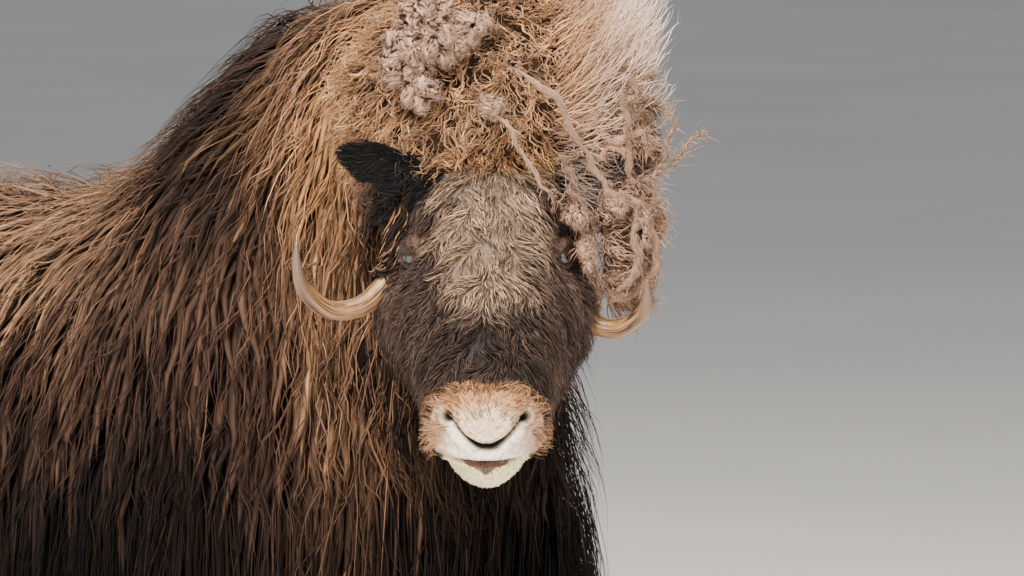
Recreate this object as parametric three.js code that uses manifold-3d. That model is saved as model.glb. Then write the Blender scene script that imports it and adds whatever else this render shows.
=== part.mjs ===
// A grown muskox cow standing at rest with her head turned to her right, in millimetres.
// She faces -Y, her left is +X, and her hooves stand on z = 0. The outline is that of the
// coat's tips, with the wool that she is shedding heaped on the crown and beside the left horn.
import * as THREE from 'three';
import { mergeVertices } from 'three/addons/utils/BufferGeometryUtils.js';
import Module from 'manifold-3d';

const wasm = await Module();
wasm.setup();

// Whole animal
const gap = 0.3;              // left between two pieces that touch
const originX = -37;          // middle of the standing animal's box, seen from the withers
const originY = 199;
const coronetHeight = 52;     // top of the hooves
const legTop = 420;           // legs run up into the skirt to here before they are trimmed

// Trunk: distance behind the withers, half width, top, height of the widest line, hem
const trunkRows = [
  [-350, 0, 650, 640, 630],
  [-340, 62, 800, 640, 500],
  [-304, 122, 960, 650, 395],
  [-240, 187, 1090, 655, 338],
  [-155, 249, 1212, 655, 312],
  [-60, 301, 1286, 650, 300],
  [45, 331, 1294, 640, 295],
  [140, 344, 1212, 632, 300],
  [240, 347, 1116, 625, 291],
  [350, 345, 1064, 620, 298],
  [470, 342, 1046, 615, 289],
  [600, 334, 1050, 615, 297],
  [720, 312, 1046, 615, 290],
  [820, 268, 1010, 615, 298],
  [888, 198, 938, 620, 322],
  [930, 112, 832, 630, 400],
  [944, 0, 665, 650, 635],
];
const trunkTopRound = 1.9;    // superellipse powers of the ring above and below the widest line
const trunkHemRound = 4.6;

// Neck: a path in plan that bends to the right, then half width, top, widest line, throat mane
const neckStart = new THREE.Vector2(0, 110);
const neckBend = new THREE.Vector2(4, -165);
const neckEnd = new THREE.Vector2(-150, -338);
const neckRows = [
  [0, 1120, 900, 700],
  [175, 1236, 900, 470],
  [218, 1292, 915, 430],
  [224, 1316, 935, 440],
  [218, 1322, 955, 465],
  [206, 1312, 965, 500],
  [168, 1272, 960, 548],
  [92, 1140, 950, 655],
  [0, 985, 940, 870],
];
const neckTopRound = 2.1;
const neckManeRound = 1.42;

// Head frame: origin midway between the eyes, nose towards -y, brow towards +z
const headPlace = new THREE.Vector3(-220, -400, 990);
const headYaw = -50;
const headPitch = 42;
// Head: place along the face, half width, brow or nose line, widest line, jaw line with its hair
const headRows = [
  [214, 0, 20, 0, -20],
  [204, 78, 92, -5, -112],
  [150, 118, 108, -12, -168],
  [92, 122, 93, -32, -202],
  [42, 130, 80, -60, -210],
  [0, 135, 68, -86, -202],
  [-40, 129, 57, -92, -189],
  [-80, 113, 48, -88, -173],
  [-120, 96, 41, -76, -157],
  [-160, 83, 36, -60, -143],
  [-200, 75, 30, -50, -131],
  [-232, 70, 22, -44, -121],
  [-254, 60, 11, -45, -107],
  [-270, 47, 1, -44, -97],
  [-280, 33, -10, -43, -84],
  [-286, 18, -24, -42, -62],
  [-287, 0, -40, -42, -44],
];
const headBrowRound = 2.5;
const headJawRound = 2.0;
// Grooves of the muzzle, on its right half, sunk towards a point inside the nose
const muzzleHeart = new THREE.Vector3(0, -215, -40);
const grooves = {
  nostril: { depth: 11, width: 8, path: [[50, -240, 4], [34, -266, -4], [5, -276, -24]] },
  mouth: { depth: 7, width: 8, path: [[56, -238, -62], [34, -272, -44], [0, -287, -33]] },
};
// The face draws in by this much around the eyes, fading along the face and up and down
const templeHollow = { depth: 38, y: 10, z: 10, along: 56, tall: 44 };
// The chin is narrower than the lips by this share, below a lip line that falls away to the sides
const chin = { narrower: 0.26, lip: -34, fall: 29, halfLip: 55, step: 16 };

// Wool heaped on the crown and hanging in a curtain above the left horn
const woolLump = 0.045;
const crownWool = {
  centre: new THREE.Vector3(-110, -308, 1136),
  size: new THREE.Vector3(190, 160, 192),
};
const sideWool = {
  centre: new THREE.Vector3(-82, -484, 1052),
  size: new THREE.Vector3(52, 47, 158),
};

// Eye, ear, horn and tail
const eyeRadius = 18;
const eyePlace = new THREE.Vector3(80, 2, 0);
const orbitPlace = new THREE.Vector3(107, -5, 5);
const orbitSize = new THREE.Vector3(18, 21, 15);
const earLength = 98;
const earHalfWidth = 27;
const earThickness = 9;
const earCup = 7;
const earTipRound = 0.5;      // power of the leaf's width, rounder at the tip as it falls
// Horn: lateral, along the face, brow-ward, radius
const hornRows = [
  [54, 90, 50, 20],
  [76, 82, 26, 18.5],
  [90, 54, -10, 16],
  [106, 14, -40, 13.5],
  [140, -28, -52, 12],
  [178, -46, -44, 11],
  [206, -52, -8, 9.5],
  [215, -54, 28, 6.5],
  [216, -45, 68, 2],
];
const hornLowest = -52;
// The right horn hooks out farther and higher than the left one, and the left ear lies farther back
const sides = {
  right: { side: -1, spread: 1, drop: 0, rise: 1, earRoot: [78, 72, 53], earTip: [172, 92, 78] },
  left: { side: 1, spread: 0.85, drop: 30, rise: 0.74, earRoot: [78, 92, 32], earTip: [178, 138, 40] },
};
const tailTop = new THREE.Vector3(0, 914, 922);
const tailEnd = new THREE.Vector3(0, 958, 800);
const tailRadius = 34;

// Legs: height, half width across, half width along, and how far forward of the hoof's middle
const frontLegRows = [
  [legTop, 66, 74, 4],
  [330, 60, 68, 4],
  [250, 49, 54, 2],
  [180, 41, 45, 0],
  [130, 44, 49, -2],
  [95, 51, 56, 0],
  [70, 54, 62, 6],
  [coronetHeight, 51, 60, 9],
];
const hindLegRows = [
  [legTop, 60, 84, -44],
  [340, 54, 70, -36],
  [260, 44, 55, -20],
  [185, 37, 43, -8],
  [130, 40, 45, -4],
  [95, 46, 51, 0],
  [70, 49, 56, 6],
  [coronetHeight, 46, 53, 8],
];
const feet = {
  front_left: { x: 138, y: -62, rows: frontLegRows, scale: 1, toeOut: 7 },
  front_right: { x: -136, y: -104, rows: frontLegRows, scale: 1, toeOut: -9 },
  hind_left: { x: 128, y: 742, rows: hindLegRows, scale: 0.9, toeOut: 8 },
  hind_right: { x: -130, y: 700, rows: hindLegRows, scale: 0.9, toeOut: -7 },
};
// Hoof: one claw of the cloven foot before scaling
const clawWidth = 50;
const clawLength = 118;
const cleft = 6;              // between the two claws of a foot
const dewclawHeight = 82;
const dewclawSpread = 24;
const dewclawSize = new THREE.Vector3(13, 15, 20);

const colours = {
  coat: 0x3a2a20,
  mane: 0x4a3526,
  face: 0x5b5047,
  ear: 0x171310,
  eye: 0x120b07,
  horn: 0xb59468,
  leg: 0xb9ab97,
  hoof: 0x2b2724,
};

// Helpers

// Row of a table at u from 0 to 1, on a Catmull-Rom spline through the rows.
function rowAt(rows, u) {
  const last = rows.length - 1;
  const place = Math.min(u * last, last - 1e-9);
  const i = Math.floor(place);
  const t = place - i;
  const [a, b, c, d] = [-1, 0, 1, 2].map((k) => rows[Math.min(Math.max(i + k, 0), last)]);
  return b.map((_, k) => 0.5 * (2 * b[k] + (c[k] - a[k]) * t
    + (2 * a[k] - 5 * b[k] + 4 * c[k] - d[k]) * t * t
    + (3 * b[k] - a[k] - 3 * c[k] + d[k]) * t * t * t));
}

// Point of a ring whose upper and lower halves are superellipses of their own powers.
function ringPoint(halfWidth, top, widest, bottom, angle, topRound, bottomRound) {
  const [c, s] = [Math.cos(angle), Math.sin(angle)];
  const power = 2 / (s > 0 ? topRound : bottomRound);
  const reach = s > 0 ? top - widest : widest - bottom;
  return [
    halfWidth * Math.sign(c) * Math.abs(c) ** power,
    widest + reach * Math.sign(s) * Math.abs(s) ** power,
  ];
}

// Closed surface of rings between two end points, pointAt(u, angle) giving each ring's points.
function closedSurface(rings, sides, pointAt, startPoint, endPoint, from = 0, to = 1) {
  const points = [];
  for (let i = 0; i < rings; i += 1) {
    const u = from + (to - from) * i / (rings - 1);
    for (let j = 0; j < sides; j += 1) {
      points.push(pointAt(u, 2 * Math.PI * j / sides));
    }
  }
  const [start, end] = [points.length, points.length + 1];
  points.push(startPoint, endPoint);
  const faces = [];
  for (let j = 0; j < sides; j += 1) {
    const next = (j + 1) % sides;
    for (let i = 0; i + 1 < rings; i += 1) {
      const [a, b] = [i * sides + j, i * sides + next];
      faces.push(a, a + sides, b, b, a + sides, b + sides);
    }
    faces.push(start, j, next);
    faces.push(end, (rings - 1) * sides + next, (rings - 1) * sides + j);
  }
  return new THREE.BufferGeometry().setFromPoints(points).setIndex(faces);
}

// Solid of a closed surface, turned right side out where its faces point inwards.
function solidOf(surface) {
  surface.deleteAttribute('normal');
  surface.deleteAttribute('uv');
  const merged = mergeVertices(surface, 1e-3);
  const places = merged.attributes.position;
  const corners = Uint32Array.from(merged.index.array);
  const corner = (k) => new THREE.Vector3().fromBufferAttribute(places, corners[k]);
  let volume = 0;
  for (let k = 0; k < corners.length; k += 3) {
    volume += corner(k).dot(corner(k + 1).cross(corner(k + 2)));
  }
  if (volume < 0) {
    for (let k = 0; k < corners.length; k += 3) {
      [corners[k], corners[k + 1]] = [corners[k + 1], corners[k]];
    }
  }
  return new wasm.Manifold(new wasm.Mesh({
    numProp: 3,
    vertProperties: Float32Array.from(places.array),
    triVerts: corners,
  }));
}

// Half of space that a normal points into from a plane, less half the gap.
function halfSpace(point, normal) {
  const size = 5000;
  const block = new THREE.BoxGeometry(size, size, size);
  block.translate(0, 0, size / 2 + gap / 2);
  const upward = new THREE.Vector3(0, 0, 1);
  block.applyQuaternion(new THREE.Quaternion().setFromUnitVectors(upward, normal.clone().normalize()));
  block.translate(point.x, point.y, point.z);
  return solidOf(block);
}

const headTurn = new THREE.Euler(
  THREE.MathUtils.degToRad(headPitch), 0, THREE.MathUtils.degToRad(headYaw), 'ZYX');
const headMatrix = new THREE.Matrix4().makeRotationFromEuler(headTurn).setPosition(headPlace);

const group = new THREE.Group();
group.position.set(-originX, -originY, 0);

function addNode(name, solid, colour, roughness) {
  const { vertProperties, triVerts } = solid.getMesh();
  const geometry = new THREE.BufferGeometry();
  geometry.setAttribute('position', new THREE.BufferAttribute(vertProperties, 3));
  geometry.setIndex(new THREE.BufferAttribute(triVerts, 1));
  geometry.computeVertexNormals();
  const material = new THREE.MeshStandardMaterial({ color: colour, roughness, metalness: 0 });
  const mesh = new THREE.Mesh(geometry, material);
  mesh.name = name;
  group.add(mesh);
}

// Trunk, with the skirt of guard hair down to its hem. grow moves the whole surface outwards.
function trunkSurface(grow = 0) {
  const pointAt = (u, angle) => {
    const [y, halfWidth, top, widest, bottom] = rowAt(trunkRows, u);
    const [x, z] = ringPoint(halfWidth + grow, top + grow, widest, bottom - grow, angle,
      trunkTopRound, trunkHemRound);
    return new THREE.Vector3(x, y, z);
  };
  const pole = (u) => new THREE.Vector3(0, rowAt(trunkRows, u)[0], rowAt(trunkRows, u)[3]);
  return closedSurface(22, 28, pointAt, pole(0), pole(1), 0.02, 0.98);
}

// Neck and mane: upright rings square to a curved path in plan.
function neckSurface() {
  const path = new THREE.QuadraticBezierCurve(neckStart, neckBend, neckEnd);
  const pointAt = (u, angle) => {
    const [halfWidth, top, widest, bottom] = rowAt(neckRows, u);
    const [across, z] = ringPoint(halfWidth, top, widest, bottom, angle, neckTopRound, neckManeRound);
    const centre = path.getPointAt(u);
    const along = path.getTangentAt(u);
    return new THREE.Vector3(centre.x - along.y * across, centre.y + along.x * across, z);
  };
  const pole = (u) => {
    const centre = path.getPointAt(u);
    return new THREE.Vector3(centre.x, centre.y, rowAt(neckRows, u)[2]);
  };
  return closedSurface(14, 26, pointAt, pole(0), pole(1), 0.03, 0.985);
}

// Moves a point of the muzzle inwards where a groove passes: a bell-shaped trough along its path.
function sinkGrooves(point) {
  const mirrored = new THREE.Vector3(Math.abs(point.x), point.y, point.z);
  let depth = 0;
  for (const { path, width, depth: most } of Object.values(grooves)) {
    const line = new THREE.CatmullRomCurve3(path.map((p) => new THREE.Vector3(...p))).getPoints(12);
    const nearest = Math.min(...line.map((p) => p.distanceTo(mirrored)));
    depth += most * Math.exp(-((nearest / width) ** 2));
  }
  return point.addScaledVector(muzzleHeart.clone().sub(point).normalize(), depth);
}

// Share, from 0 to 1, by which a point of the muzzle lies below the lip line.
function belowLip(x, y, z) {
  const line = chin.lip - chin.fall * (x / chin.halfLip) ** 2;
  return THREE.MathUtils.smoothstep(line - z, 0, chin.step) * THREE.MathUtils.smoothstep(-y, 205, 235);
}

// Head with the short hair of the face and the longer hair of cheeks and jaw, in the head frame.
function headSurface() {
  const pointAt = (u, angle) => {
    const [y, halfWidth, top, widest, bottom] = rowAt(headRows, u);
    const [x, z] = ringPoint(halfWidth, top, widest, bottom, angle, headBrowRound, headJawRound);
    const { depth, along, tall, y: middle, z: level } = templeHollow;
    const drawn = depth * Math.exp(-(((y - middle) / along) ** 2) - (((z - level) / tall) ** 2));
    const across = x * (1 - drawn / halfWidth) * (1 - chin.narrower * belowLip(x, y, z));
    return sinkGrooves(new THREE.Vector3(across, y, z)).applyMatrix4(headMatrix);
  };
  const pole = (u) => {
    const [y, , , widest] = rowAt(headRows, u);
    return new THREE.Vector3(0, y, widest).applyMatrix4(headMatrix);
  };
  return closedSurface(31, 28, pointAt, pole(0), pole(1), 0.02, 0.99);
}

// Rounded mass of wool, its surface raised in soft lumps, turned as the head is in plan.
function woolSurface({ centre, size }, across, down) {
  const ball = new THREE.SphereGeometry(1, across, down);
  const place = ball.attributes.position;
  for (let i = 0; i < place.count; i += 1) {
    const p = new THREE.Vector3().fromBufferAttribute(place, i);
    const raised = 1 + woolLump * Math.sin(6 * p.x + 1) * Math.sin(7 * p.y + 2) * Math.sin(6 * p.z);
    p.multiplyScalar(raised).multiply(size);
    place.setXYZ(i, p.x, p.y, p.z);
  }
  return ball.rotateZ(THREE.MathUtils.degToRad(headYaw)).translate(centre.x, centre.y, centre.z);
}

function eyeBall(side, radius) {
  const ball = new THREE.SphereGeometry(radius, 12, 7);
  ball.translate(side * eyePlace.x, eyePlace.y, eyePlace.z);
  return solidOf(ball.applyMatrix4(headMatrix));
}

// The hollow in front of the eye, between the brow and the cheek hair.
function orbitHollow(side) {
  const hollow = new THREE.SphereGeometry(1, 10, 6);
  hollow.scale(orbitSize.x, orbitSize.y, orbitSize.z);
  hollow.translate(side * orbitPlace.x, orbitPlace.y, orbitPlace.z);
  return solidOf(hollow.applyMatrix4(headMatrix));
}

// Ear: a cupped leaf, widest at its middle, from its root out to a rounded tip.
function ear({ side, earRoot, earTip }, grow) {
  const mirror = new THREE.Vector3(side, 1, 1);
  const root = new THREE.Vector3(...earRoot).multiply(mirror);
  const tip = new THREE.Vector3(...earTip).multiply(mirror);
  const along = tip.clone().sub(root).normalize();
  const hollow = new THREE.Vector3(side * 0.25, -0.8, 0.55);
  const wide = new THREE.Vector3().crossVectors(along, hollow).normalize();
  const front = new THREE.Vector3().crossVectors(wide, along).normalize();
  const pointAt = (u, angle) => {
    const leaf = Math.sin(Math.PI * (0.14 + 0.86 * u) ** 0.9) ** earTipRound;
    const across = Math.cos(angle) * (earHalfWidth * leaf + grow);
    const cup = earCup * leaf * (1 - 2 * (across / earHalfWidth) ** 2);
    const thick = Math.sin(angle) * (earThickness / 2 * (0.5 + 0.5 * leaf) + grow) - cup;
    return root.clone().addScaledVector(along, (earLength + grow) * u)
      .addScaledVector(wide, across).addScaledVector(front, thick).applyMatrix4(headMatrix);
  };
  const pole = (u) => pointAt(u, 0).add(pointAt(u, Math.PI)).multiplyScalar(0.5);
  return solidOf(closedSurface(8, 10, pointAt, pole(0), pole(0.985), 0, 0.985));
}

// Horn: round sections that shrink along a hooked curve, from the crown down past the eye and up.
function horn({ side, spread, drop, rise }, grow) {
  const centre = (u) => {
    const [x, y, z] = rowAt(hornRows, u);
    const free = THREE.MathUtils.smoothstep(u, 0.25, 0.55);
    const hooked = hornLowest + rise * (z - hornLowest) - drop;
    return new THREE.Vector3(side * x * (1 + (spread - 1) * free), y, z + (hooked - z) * free);
  };
  const pointAt = (u, angle) => {
    const step = 0.01;
    const along = centre(Math.min(u + step, 1)).sub(centre(Math.max(u - step, 0))).normalize();
    const across = new THREE.Vector3(0.2 * side, 1, 0.1).cross(along).normalize();
    const other = new THREE.Vector3().crossVectors(along, across);
    const radius = rowAt(hornRows, u)[3] + grow;
    return centre(u).addScaledVector(across, radius * Math.cos(angle))
      .addScaledVector(other, radius * Math.sin(angle)).applyMatrix4(headMatrix);
  };
  const pole = (u) => centre(u).applyMatrix4(headMatrix);
  return solidOf(closedSurface(18, 9, pointAt, pole(0), pole(1)));
}

// Tail: a short tapered tuft that hangs against the rump.
function tail() {
  const pointAt = (u, angle) => {
    const radius = tailRadius * Math.sqrt(Math.sin(Math.PI * (0.18 + 0.8 * u)));
    return tailTop.clone().lerp(tailEnd, u)
      .add(new THREE.Vector3(radius * Math.cos(angle), 0.6 * radius * Math.sin(angle), 0));
  };
  return solidOf(closedSurface(6, 10, pointAt, tailTop, tailEnd));
}

// Leg down to the coronet: level rings, wider where the joints and the foot's hair are.
function leg({ x, y, rows }) {
  const pointAt = (u, angle) => {
    const [z, halfAcross, halfAlong, forward] = rowAt(rows, u);
    const ahead = y - forward + halfAlong * Math.sin(angle);
    return new THREE.Vector3(x + halfAcross * Math.cos(angle), ahead, z);
  };
  const pole = (u) => {
    const [z, , , forward] = rowAt(rows, u);
    return new THREE.Vector3(x, y - forward, z);
  };
  return solidOf(closedSurface(9, 12, pointAt, pole(0), pole(1)));
}

// One claw of a hoof: flat sole, straight inner side and a round outer wall that leans back.
function claw({ x, y, scale, toeOut }, outer) {
  const levels = [[0, 0.95, 0], [5, 1, 0], [28, 0.93, 3], [coronetHeight - gap, 0.84, 7]];
  const turn = new THREE.Matrix4().makeRotationZ(THREE.MathUtils.degToRad(toeOut));
  const pointAt = (u, angle) => {
    const [z, size, back] = rowAt(levels, u);
    const [c, s] = [Math.cos(angle), Math.sin(angle)];
    const outward = c > 0 ? 0.78 * c : -0.22 * Math.abs(c) ** 0.35;
    const along = -Math.sign(s) * Math.abs(s) ** 0.85 * (s > 0 ? 0.56 : 0.44);
    const lean = s > 0 ? 1 - 0.22 * s * s : 1;
    const across = cleft / 2 + clawWidth * (0.22 + outward * lean * size);
    return new THREE.Vector3(outer * across * scale, (along * clawLength * size + back) * scale, z)
      .applyMatrix4(turn).add(new THREE.Vector3(x, y, 0));
  };
  const pole = (u) => pointAt(u, 0).add(pointAt(u, Math.PI)).multiplyScalar(0.5);
  return solidOf(closedSurface(4, 12, pointAt, pole(0), pole(1)));
}

// Dewclaw: a small horny bud behind the fetlock.
function dewclaw({ x, y, scale }, outer, grow) {
  const bud = new THREE.SphereGeometry(1, 6, 4);
  bud.scale(dewclawSize.x * scale + grow, dewclawSize.y * scale + grow, dewclawSize.z * scale + grow);
  bud.translate(x + outer * dewclawSpread * scale, y + 47 * scale, dewclawHeight);
  return solidOf(bud);
}

// Flesh and coat as one mass, then parted by thin cuts at the shoulder, the nape and the throat

const flesh = [
  neckSurface(),
  headSurface(),
  woolSurface(crownWool, 18, 12),
  woolSurface(sideWool, 10, 8),
].map(solidOf).reduce((whole, mass) => whole.add(mass), solidOf(trunkSurface()));

const opposite = (normal) => normal.clone().negate();
const shoulderPoint = new THREE.Vector3(-20, -190, 920);
const shoulderNormal = new THREE.Vector3(-0.25, -0.9, 0.3);
const napePoint = new THREE.Vector3(-104, -303, 1000);
const napeNormal = new THREE.Vector3(-0.76, -0.64, 0.08);
const throatPoint = new THREE.Vector3(0, 42, -216).applyMatrix4(headMatrix);
const throatNormal = new THREE.Vector3(0, 0.31, 0.95).transformDirection(headMatrix);

const trunk = flesh.intersect(halfSpace(shoulderPoint, opposite(shoulderNormal)));
const front = flesh.intersect(halfSpace(shoulderPoint, shoulderNormal));
const neck = front.intersect(halfSpace(napePoint, opposite(napeNormal)))
  .add(front.intersect(halfSpace(throatPoint, opposite(throatNormal))));
let head = front.intersect(halfSpace(napePoint, napeNormal))
  .intersect(halfSpace(throatPoint, throatNormal));

for (const [name, shape] of Object.entries(sides)) {
  const { side } = shape;
  head = head.subtract(orbitHollow(side)).subtract(eyeBall(side, eyeRadius + gap));
  head = head.subtract(horn(shape, gap)).subtract(ear(shape, gap));
  addNode(`horn_${name}`, horn(shape, 0), colours.horn, 0.45);
  addNode(`ear_${name}`, ear(shape, 0).subtract(horn(shape, gap)), colours.ear, 0.9);
  addNode(`eye_${name}`, eyeBall(side, eyeRadius), colours.eye, 0.1);
}
addNode('trunk', trunk, colours.coat, 0.9);
addNode('neck', neck, colours.mane, 0.9);
addNode('head', head, colours.face, 0.85);

const trunkWithGap = solidOf(trunkSurface(gap));
addNode('tail', tail().subtract(trunkWithGap), colours.coat, 0.9);

for (const [foot, place] of Object.entries(feet)) {
  let stocking = leg(place).subtract(trunkWithGap);
  for (const [toe, outer] of [['inner', -Math.sign(place.x)], ['outer', Math.sign(place.x)]]) {
    stocking = stocking.subtract(dewclaw(place, outer, gap));
    addNode(`dewclaw_${foot}_${toe}`, dewclaw(place, outer, 0), colours.hoof, 0.5);
    addNode(`hoof_${foot}_${toe}`, claw(place, outer), colours.hoof, 0.5);
  }
  addNode(`leg_${foot}`, stocking, colours.leg, 0.9);
}

export default group;
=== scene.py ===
import math
from functools import partial
import bpy
import numpy as np
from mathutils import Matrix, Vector


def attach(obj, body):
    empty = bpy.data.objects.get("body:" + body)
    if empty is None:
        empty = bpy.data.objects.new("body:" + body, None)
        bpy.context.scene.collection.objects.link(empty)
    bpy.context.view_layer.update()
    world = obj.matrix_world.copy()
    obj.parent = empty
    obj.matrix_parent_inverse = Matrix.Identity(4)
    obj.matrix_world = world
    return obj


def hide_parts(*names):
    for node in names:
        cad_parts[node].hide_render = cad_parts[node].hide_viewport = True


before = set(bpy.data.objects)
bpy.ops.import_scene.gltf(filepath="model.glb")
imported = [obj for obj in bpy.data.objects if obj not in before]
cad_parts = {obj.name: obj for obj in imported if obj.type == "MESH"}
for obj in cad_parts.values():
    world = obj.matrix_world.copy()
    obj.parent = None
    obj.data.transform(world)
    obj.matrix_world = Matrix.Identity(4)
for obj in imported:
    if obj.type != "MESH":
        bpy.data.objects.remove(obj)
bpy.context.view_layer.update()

# A muskox cow at life size, in metres, facing -Y with her head turned to her right.
# Shapes are written in millimetres seen from the withers, as the solids are, and
# toWorld brings them into the frame.
rng = np.random.default_rng(11)
lockShare = 1.0

body = dict(
    shift=(37, -199, 0),         # the withers, seen from the middle of the solid's box
    headPlace=(-220, -400, 990),  # midway between the eyes
    headYaw=-50, headPitch=42,
)


def toWorld(points):
    # millimetres from the withers to metres in the frame: shifted, then divided by a thousand
    return (np.asarray(points, float) + body["shift"]) * 0.001


def turnMatrix(yaw, pitch):
    # pitch about X first, then yaw about Z
    (cy, sy), (cp, sp) = [(math.cos(math.radians(t)), math.sin(math.radians(t))) for t in (yaw, pitch)]
    aboutZ = np.array([[cy, -sy, 0], [sy, cy, 0], [0, 0, 1]])
    aboutX = np.array([[1, 0, 0], [0, cp, -sp], [0, sp, cp]])
    return aboutZ @ aboutX


headTurn = turnMatrix(body["headYaw"], body["headPitch"])
yawTurn = turnMatrix(body["headYaw"], 0)


def headToBody(points):
    # turned by the head's yaw and pitch, then moved to its place
    return points @ headTurn.T + body["headPlace"]


def bodyToHead(points):
    # the inverse: moved back, then turned by the transpose
    return (points - body["headPlace"]) @ headTurn


# ---- camera
view = dict(
    azimuth=-50, elevation=5.5, distance=7000, lens=214, sensor=36, farthest=500,
    aimRight=29, aimDown=38,     # the picture's middle, seen from between the eyes
)


def makeCamera():
    # stands back from its aim along the azimuth and elevation, and looks at it
    a, e = math.radians(view["azimuth"]), math.radians(view["elevation"])
    back = Vector((math.sin(a) * math.cos(e), -math.cos(a) * math.cos(e), math.sin(e)))
    right = Vector((math.cos(a), math.sin(a), 0))
    up = back.cross(right)
    aim = Vector(body["headPlace"]) + right * view["aimRight"] - up * view["aimDown"]
    camera = bpy.data.objects.new("camera", bpy.data.cameras.new("camera"))
    camera.data.lens = view["lens"]
    camera.data.sensor_width = view["sensor"]
    camera.data.clip_end = view["farthest"]
    camera.location = toWorld(aim + back * view["distance"])
    camera.rotation_euler = (-back).to_track_quat("-Z", "Y").to_euler()
    bpy.context.scene.collection.objects.link(camera)
    bpy.context.scene.camera = camera


makeCamera()
print("camera set")


# ---- shared maths

def smooth(x, low, high):
    # smoothstep: 0 below low, 1 above high, an S-curve between
    t = np.clip((x - low) / (high - low), 0, 1)
    return t * t * (3 - 2 * t)


def bell(x, width):
    # exp(-(x / width)^2)
    return np.exp(-(x / width) ** 2)


def unit(v):
    # each vector divided by its length
    return v / np.maximum(np.linalg.norm(v, axis=-1, keepdims=True), 1e-9)


def ripple(points, length, seed):
    # smooth noise from -1 to 1: the mean of seven sine waves in random directions
    draw = np.random.default_rng(seed)
    directions = unit(draw.normal(size=(7, 3)))
    phases = draw.uniform(0, 2 * math.pi, 7)
    stretch = draw.uniform(0.7, 1.5, 7)
    waves = np.sin(points @ directions.T * (2 * math.pi / length) * stretch + phases)
    return waves.sum(-1) / 3.2


def rowAt(rows, u):
    # Catmull-Rom spline through the table's rows, u from 0 to 1; one array for each column
    rows = np.asarray(rows, float)
    last = len(rows) - 1
    place = np.clip(u, 0, 1) * last
    i = np.minimum(place.astype(int), last - 1)
    t = (place - i)[..., None]
    a, b, c, d = [rows[np.clip(i + k, 0, last)] for k in (-1, 0, 1, 2)]
    value = 0.5 * (2 * b + (c - a) * t + (2 * a - 5 * b + 4 * c - d) * t ** 2
                   + (3 * b - a - 3 * c + d) * t ** 3)
    return np.moveaxis(value, -1, 0)


def ring(half, top, widest, bottom, angle, topRound, bottomRound):
    # superellipse: |x/half|^n + |z/reach|^n = 1, with its own n and reach above and below
    c, s = np.cos(angle), np.sin(angle)
    power = np.where(s > 0, 2 / topRound, 2 / bottomRound)
    reach = np.where(s > 0, top - widest, widest - bottom)
    x = half * np.sign(c) * np.abs(c) ** power
    return x, widest + reach * np.sign(s) * np.abs(s) ** power


# ---- shape of the animal: each surface is a function of u along and an angle around, less an inset

trunk = dict(
    rows=[                       # behind the withers, half width, top, widest line, hem
        (-350, 0, 650, 640, 630), (-340, 62, 800, 640, 500), (-304, 122, 960, 650, 395),
        (-240, 187, 1090, 655, 338), (-155, 249, 1212, 655, 312), (-60, 301, 1286, 650, 300),
        (45, 331, 1294, 640, 295), (140, 344, 1212, 632, 300), (240, 347, 1116, 625, 291),
        (350, 345, 1064, 620, 298), (470, 342, 1046, 615, 289), (600, 334, 1050, 615, 297),
        (720, 312, 1046, 615, 290), (820, 268, 1010, 615, 298), (888, 198, 938, 620, 322),
        (930, 112, 832, 630, 400), (944, 0, 665, 650, 635)],
    topRound=1.9, hemRound=4.6, belly=450, middle=300, length=1294,
)
neck = dict(
    rows=[                       # half width, top, widest line, throat mane
        (0, 1120, 900, 700), (175, 1236, 900, 470), (218, 1292, 915, 430), (224, 1316, 935, 440),
        (218, 1322, 955, 465), (206, 1312, 965, 500), (168, 1272, 960, 548), (92, 1140, 950, 655),
        (0, 985, 940, 870)],
    start=(0, 110), bend=(4, -165), end=(-150, -338), topRound=2.1, maneRound=1.42,
)
head = dict(
    rows=[                       # place along the face, half width, brow line, widest line, jaw
        (214, 0, 20, 0, -20), (204, 78, 92, -5, -112), (150, 118, 108, -12, -168),
        (92, 122, 93, -32, -202), (42, 130, 80, -60, -210), (0, 135, 68, -86, -202),
        (-40, 129, 57, -92, -189), (-80, 113, 48, -88, -173), (-120, 96, 41, -76, -157),
        (-160, 83, 36, -60, -143), (-200, 75, 30, -50, -131), (-232, 70, 22, -44, -121),
        (-254, 60, 11, -45, -107), (-270, 47, 1, -44, -97), (-280, 33, -10, -43, -84),
        (-286, 18, -24, -42, -62), (-287, 0, -40, -42, -44)],
    browRound=2.5, jawRound=2.0,
    temple=dict(depth=38, y=10, z=10, along=56, tall=44),
    chin=dict(narrower=0.20, lip=-34, fall=12, halfLip=55, step=11),
)
muzzle = dict(
    heart=(0, -215, -40), ball=70,    # grooves sink towards this point
    nostril=[(47, -249, 3), (39, -260, 1), (28, -270, -6), (16, -278, -12), (7, -281, -15),
             (0, -282, -15)],
    mouth=[(0, -287, -33), (20, -285, -34), (36, -274, -38), (52, -254, -45), (64, -222, -56)],
)
eye = dict(place=(81, 2, 0), radius=18, axis=(0.76, -0.53, 0.36), openLong=0.66, openTall=0.5)
crown = dict(centre=(-110, -308, 1136), size=(190, 160, 192))
curtain = dict(centre=(-82, -484, 1052), size=(52, 47, 158))
earShape = dict(length=98, halfWidth=27, thickness=9, cup=7, tipRound=0.5)
hornShape = dict(
    rows=[                       # lateral, along the face, browward, radius
        (54, 90, 50, 20), (76, 82, 26, 18.5), (90, 54, -10, 16), (106, 14, -40, 13.5),
        (140, -28, -52, 12), (178, -46, -44, 11), (206, -52, -8, 9.5), (215, -54, 28, 6.5),
        (216, -45, 68, 2)],
    lowest=-52,
)
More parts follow.
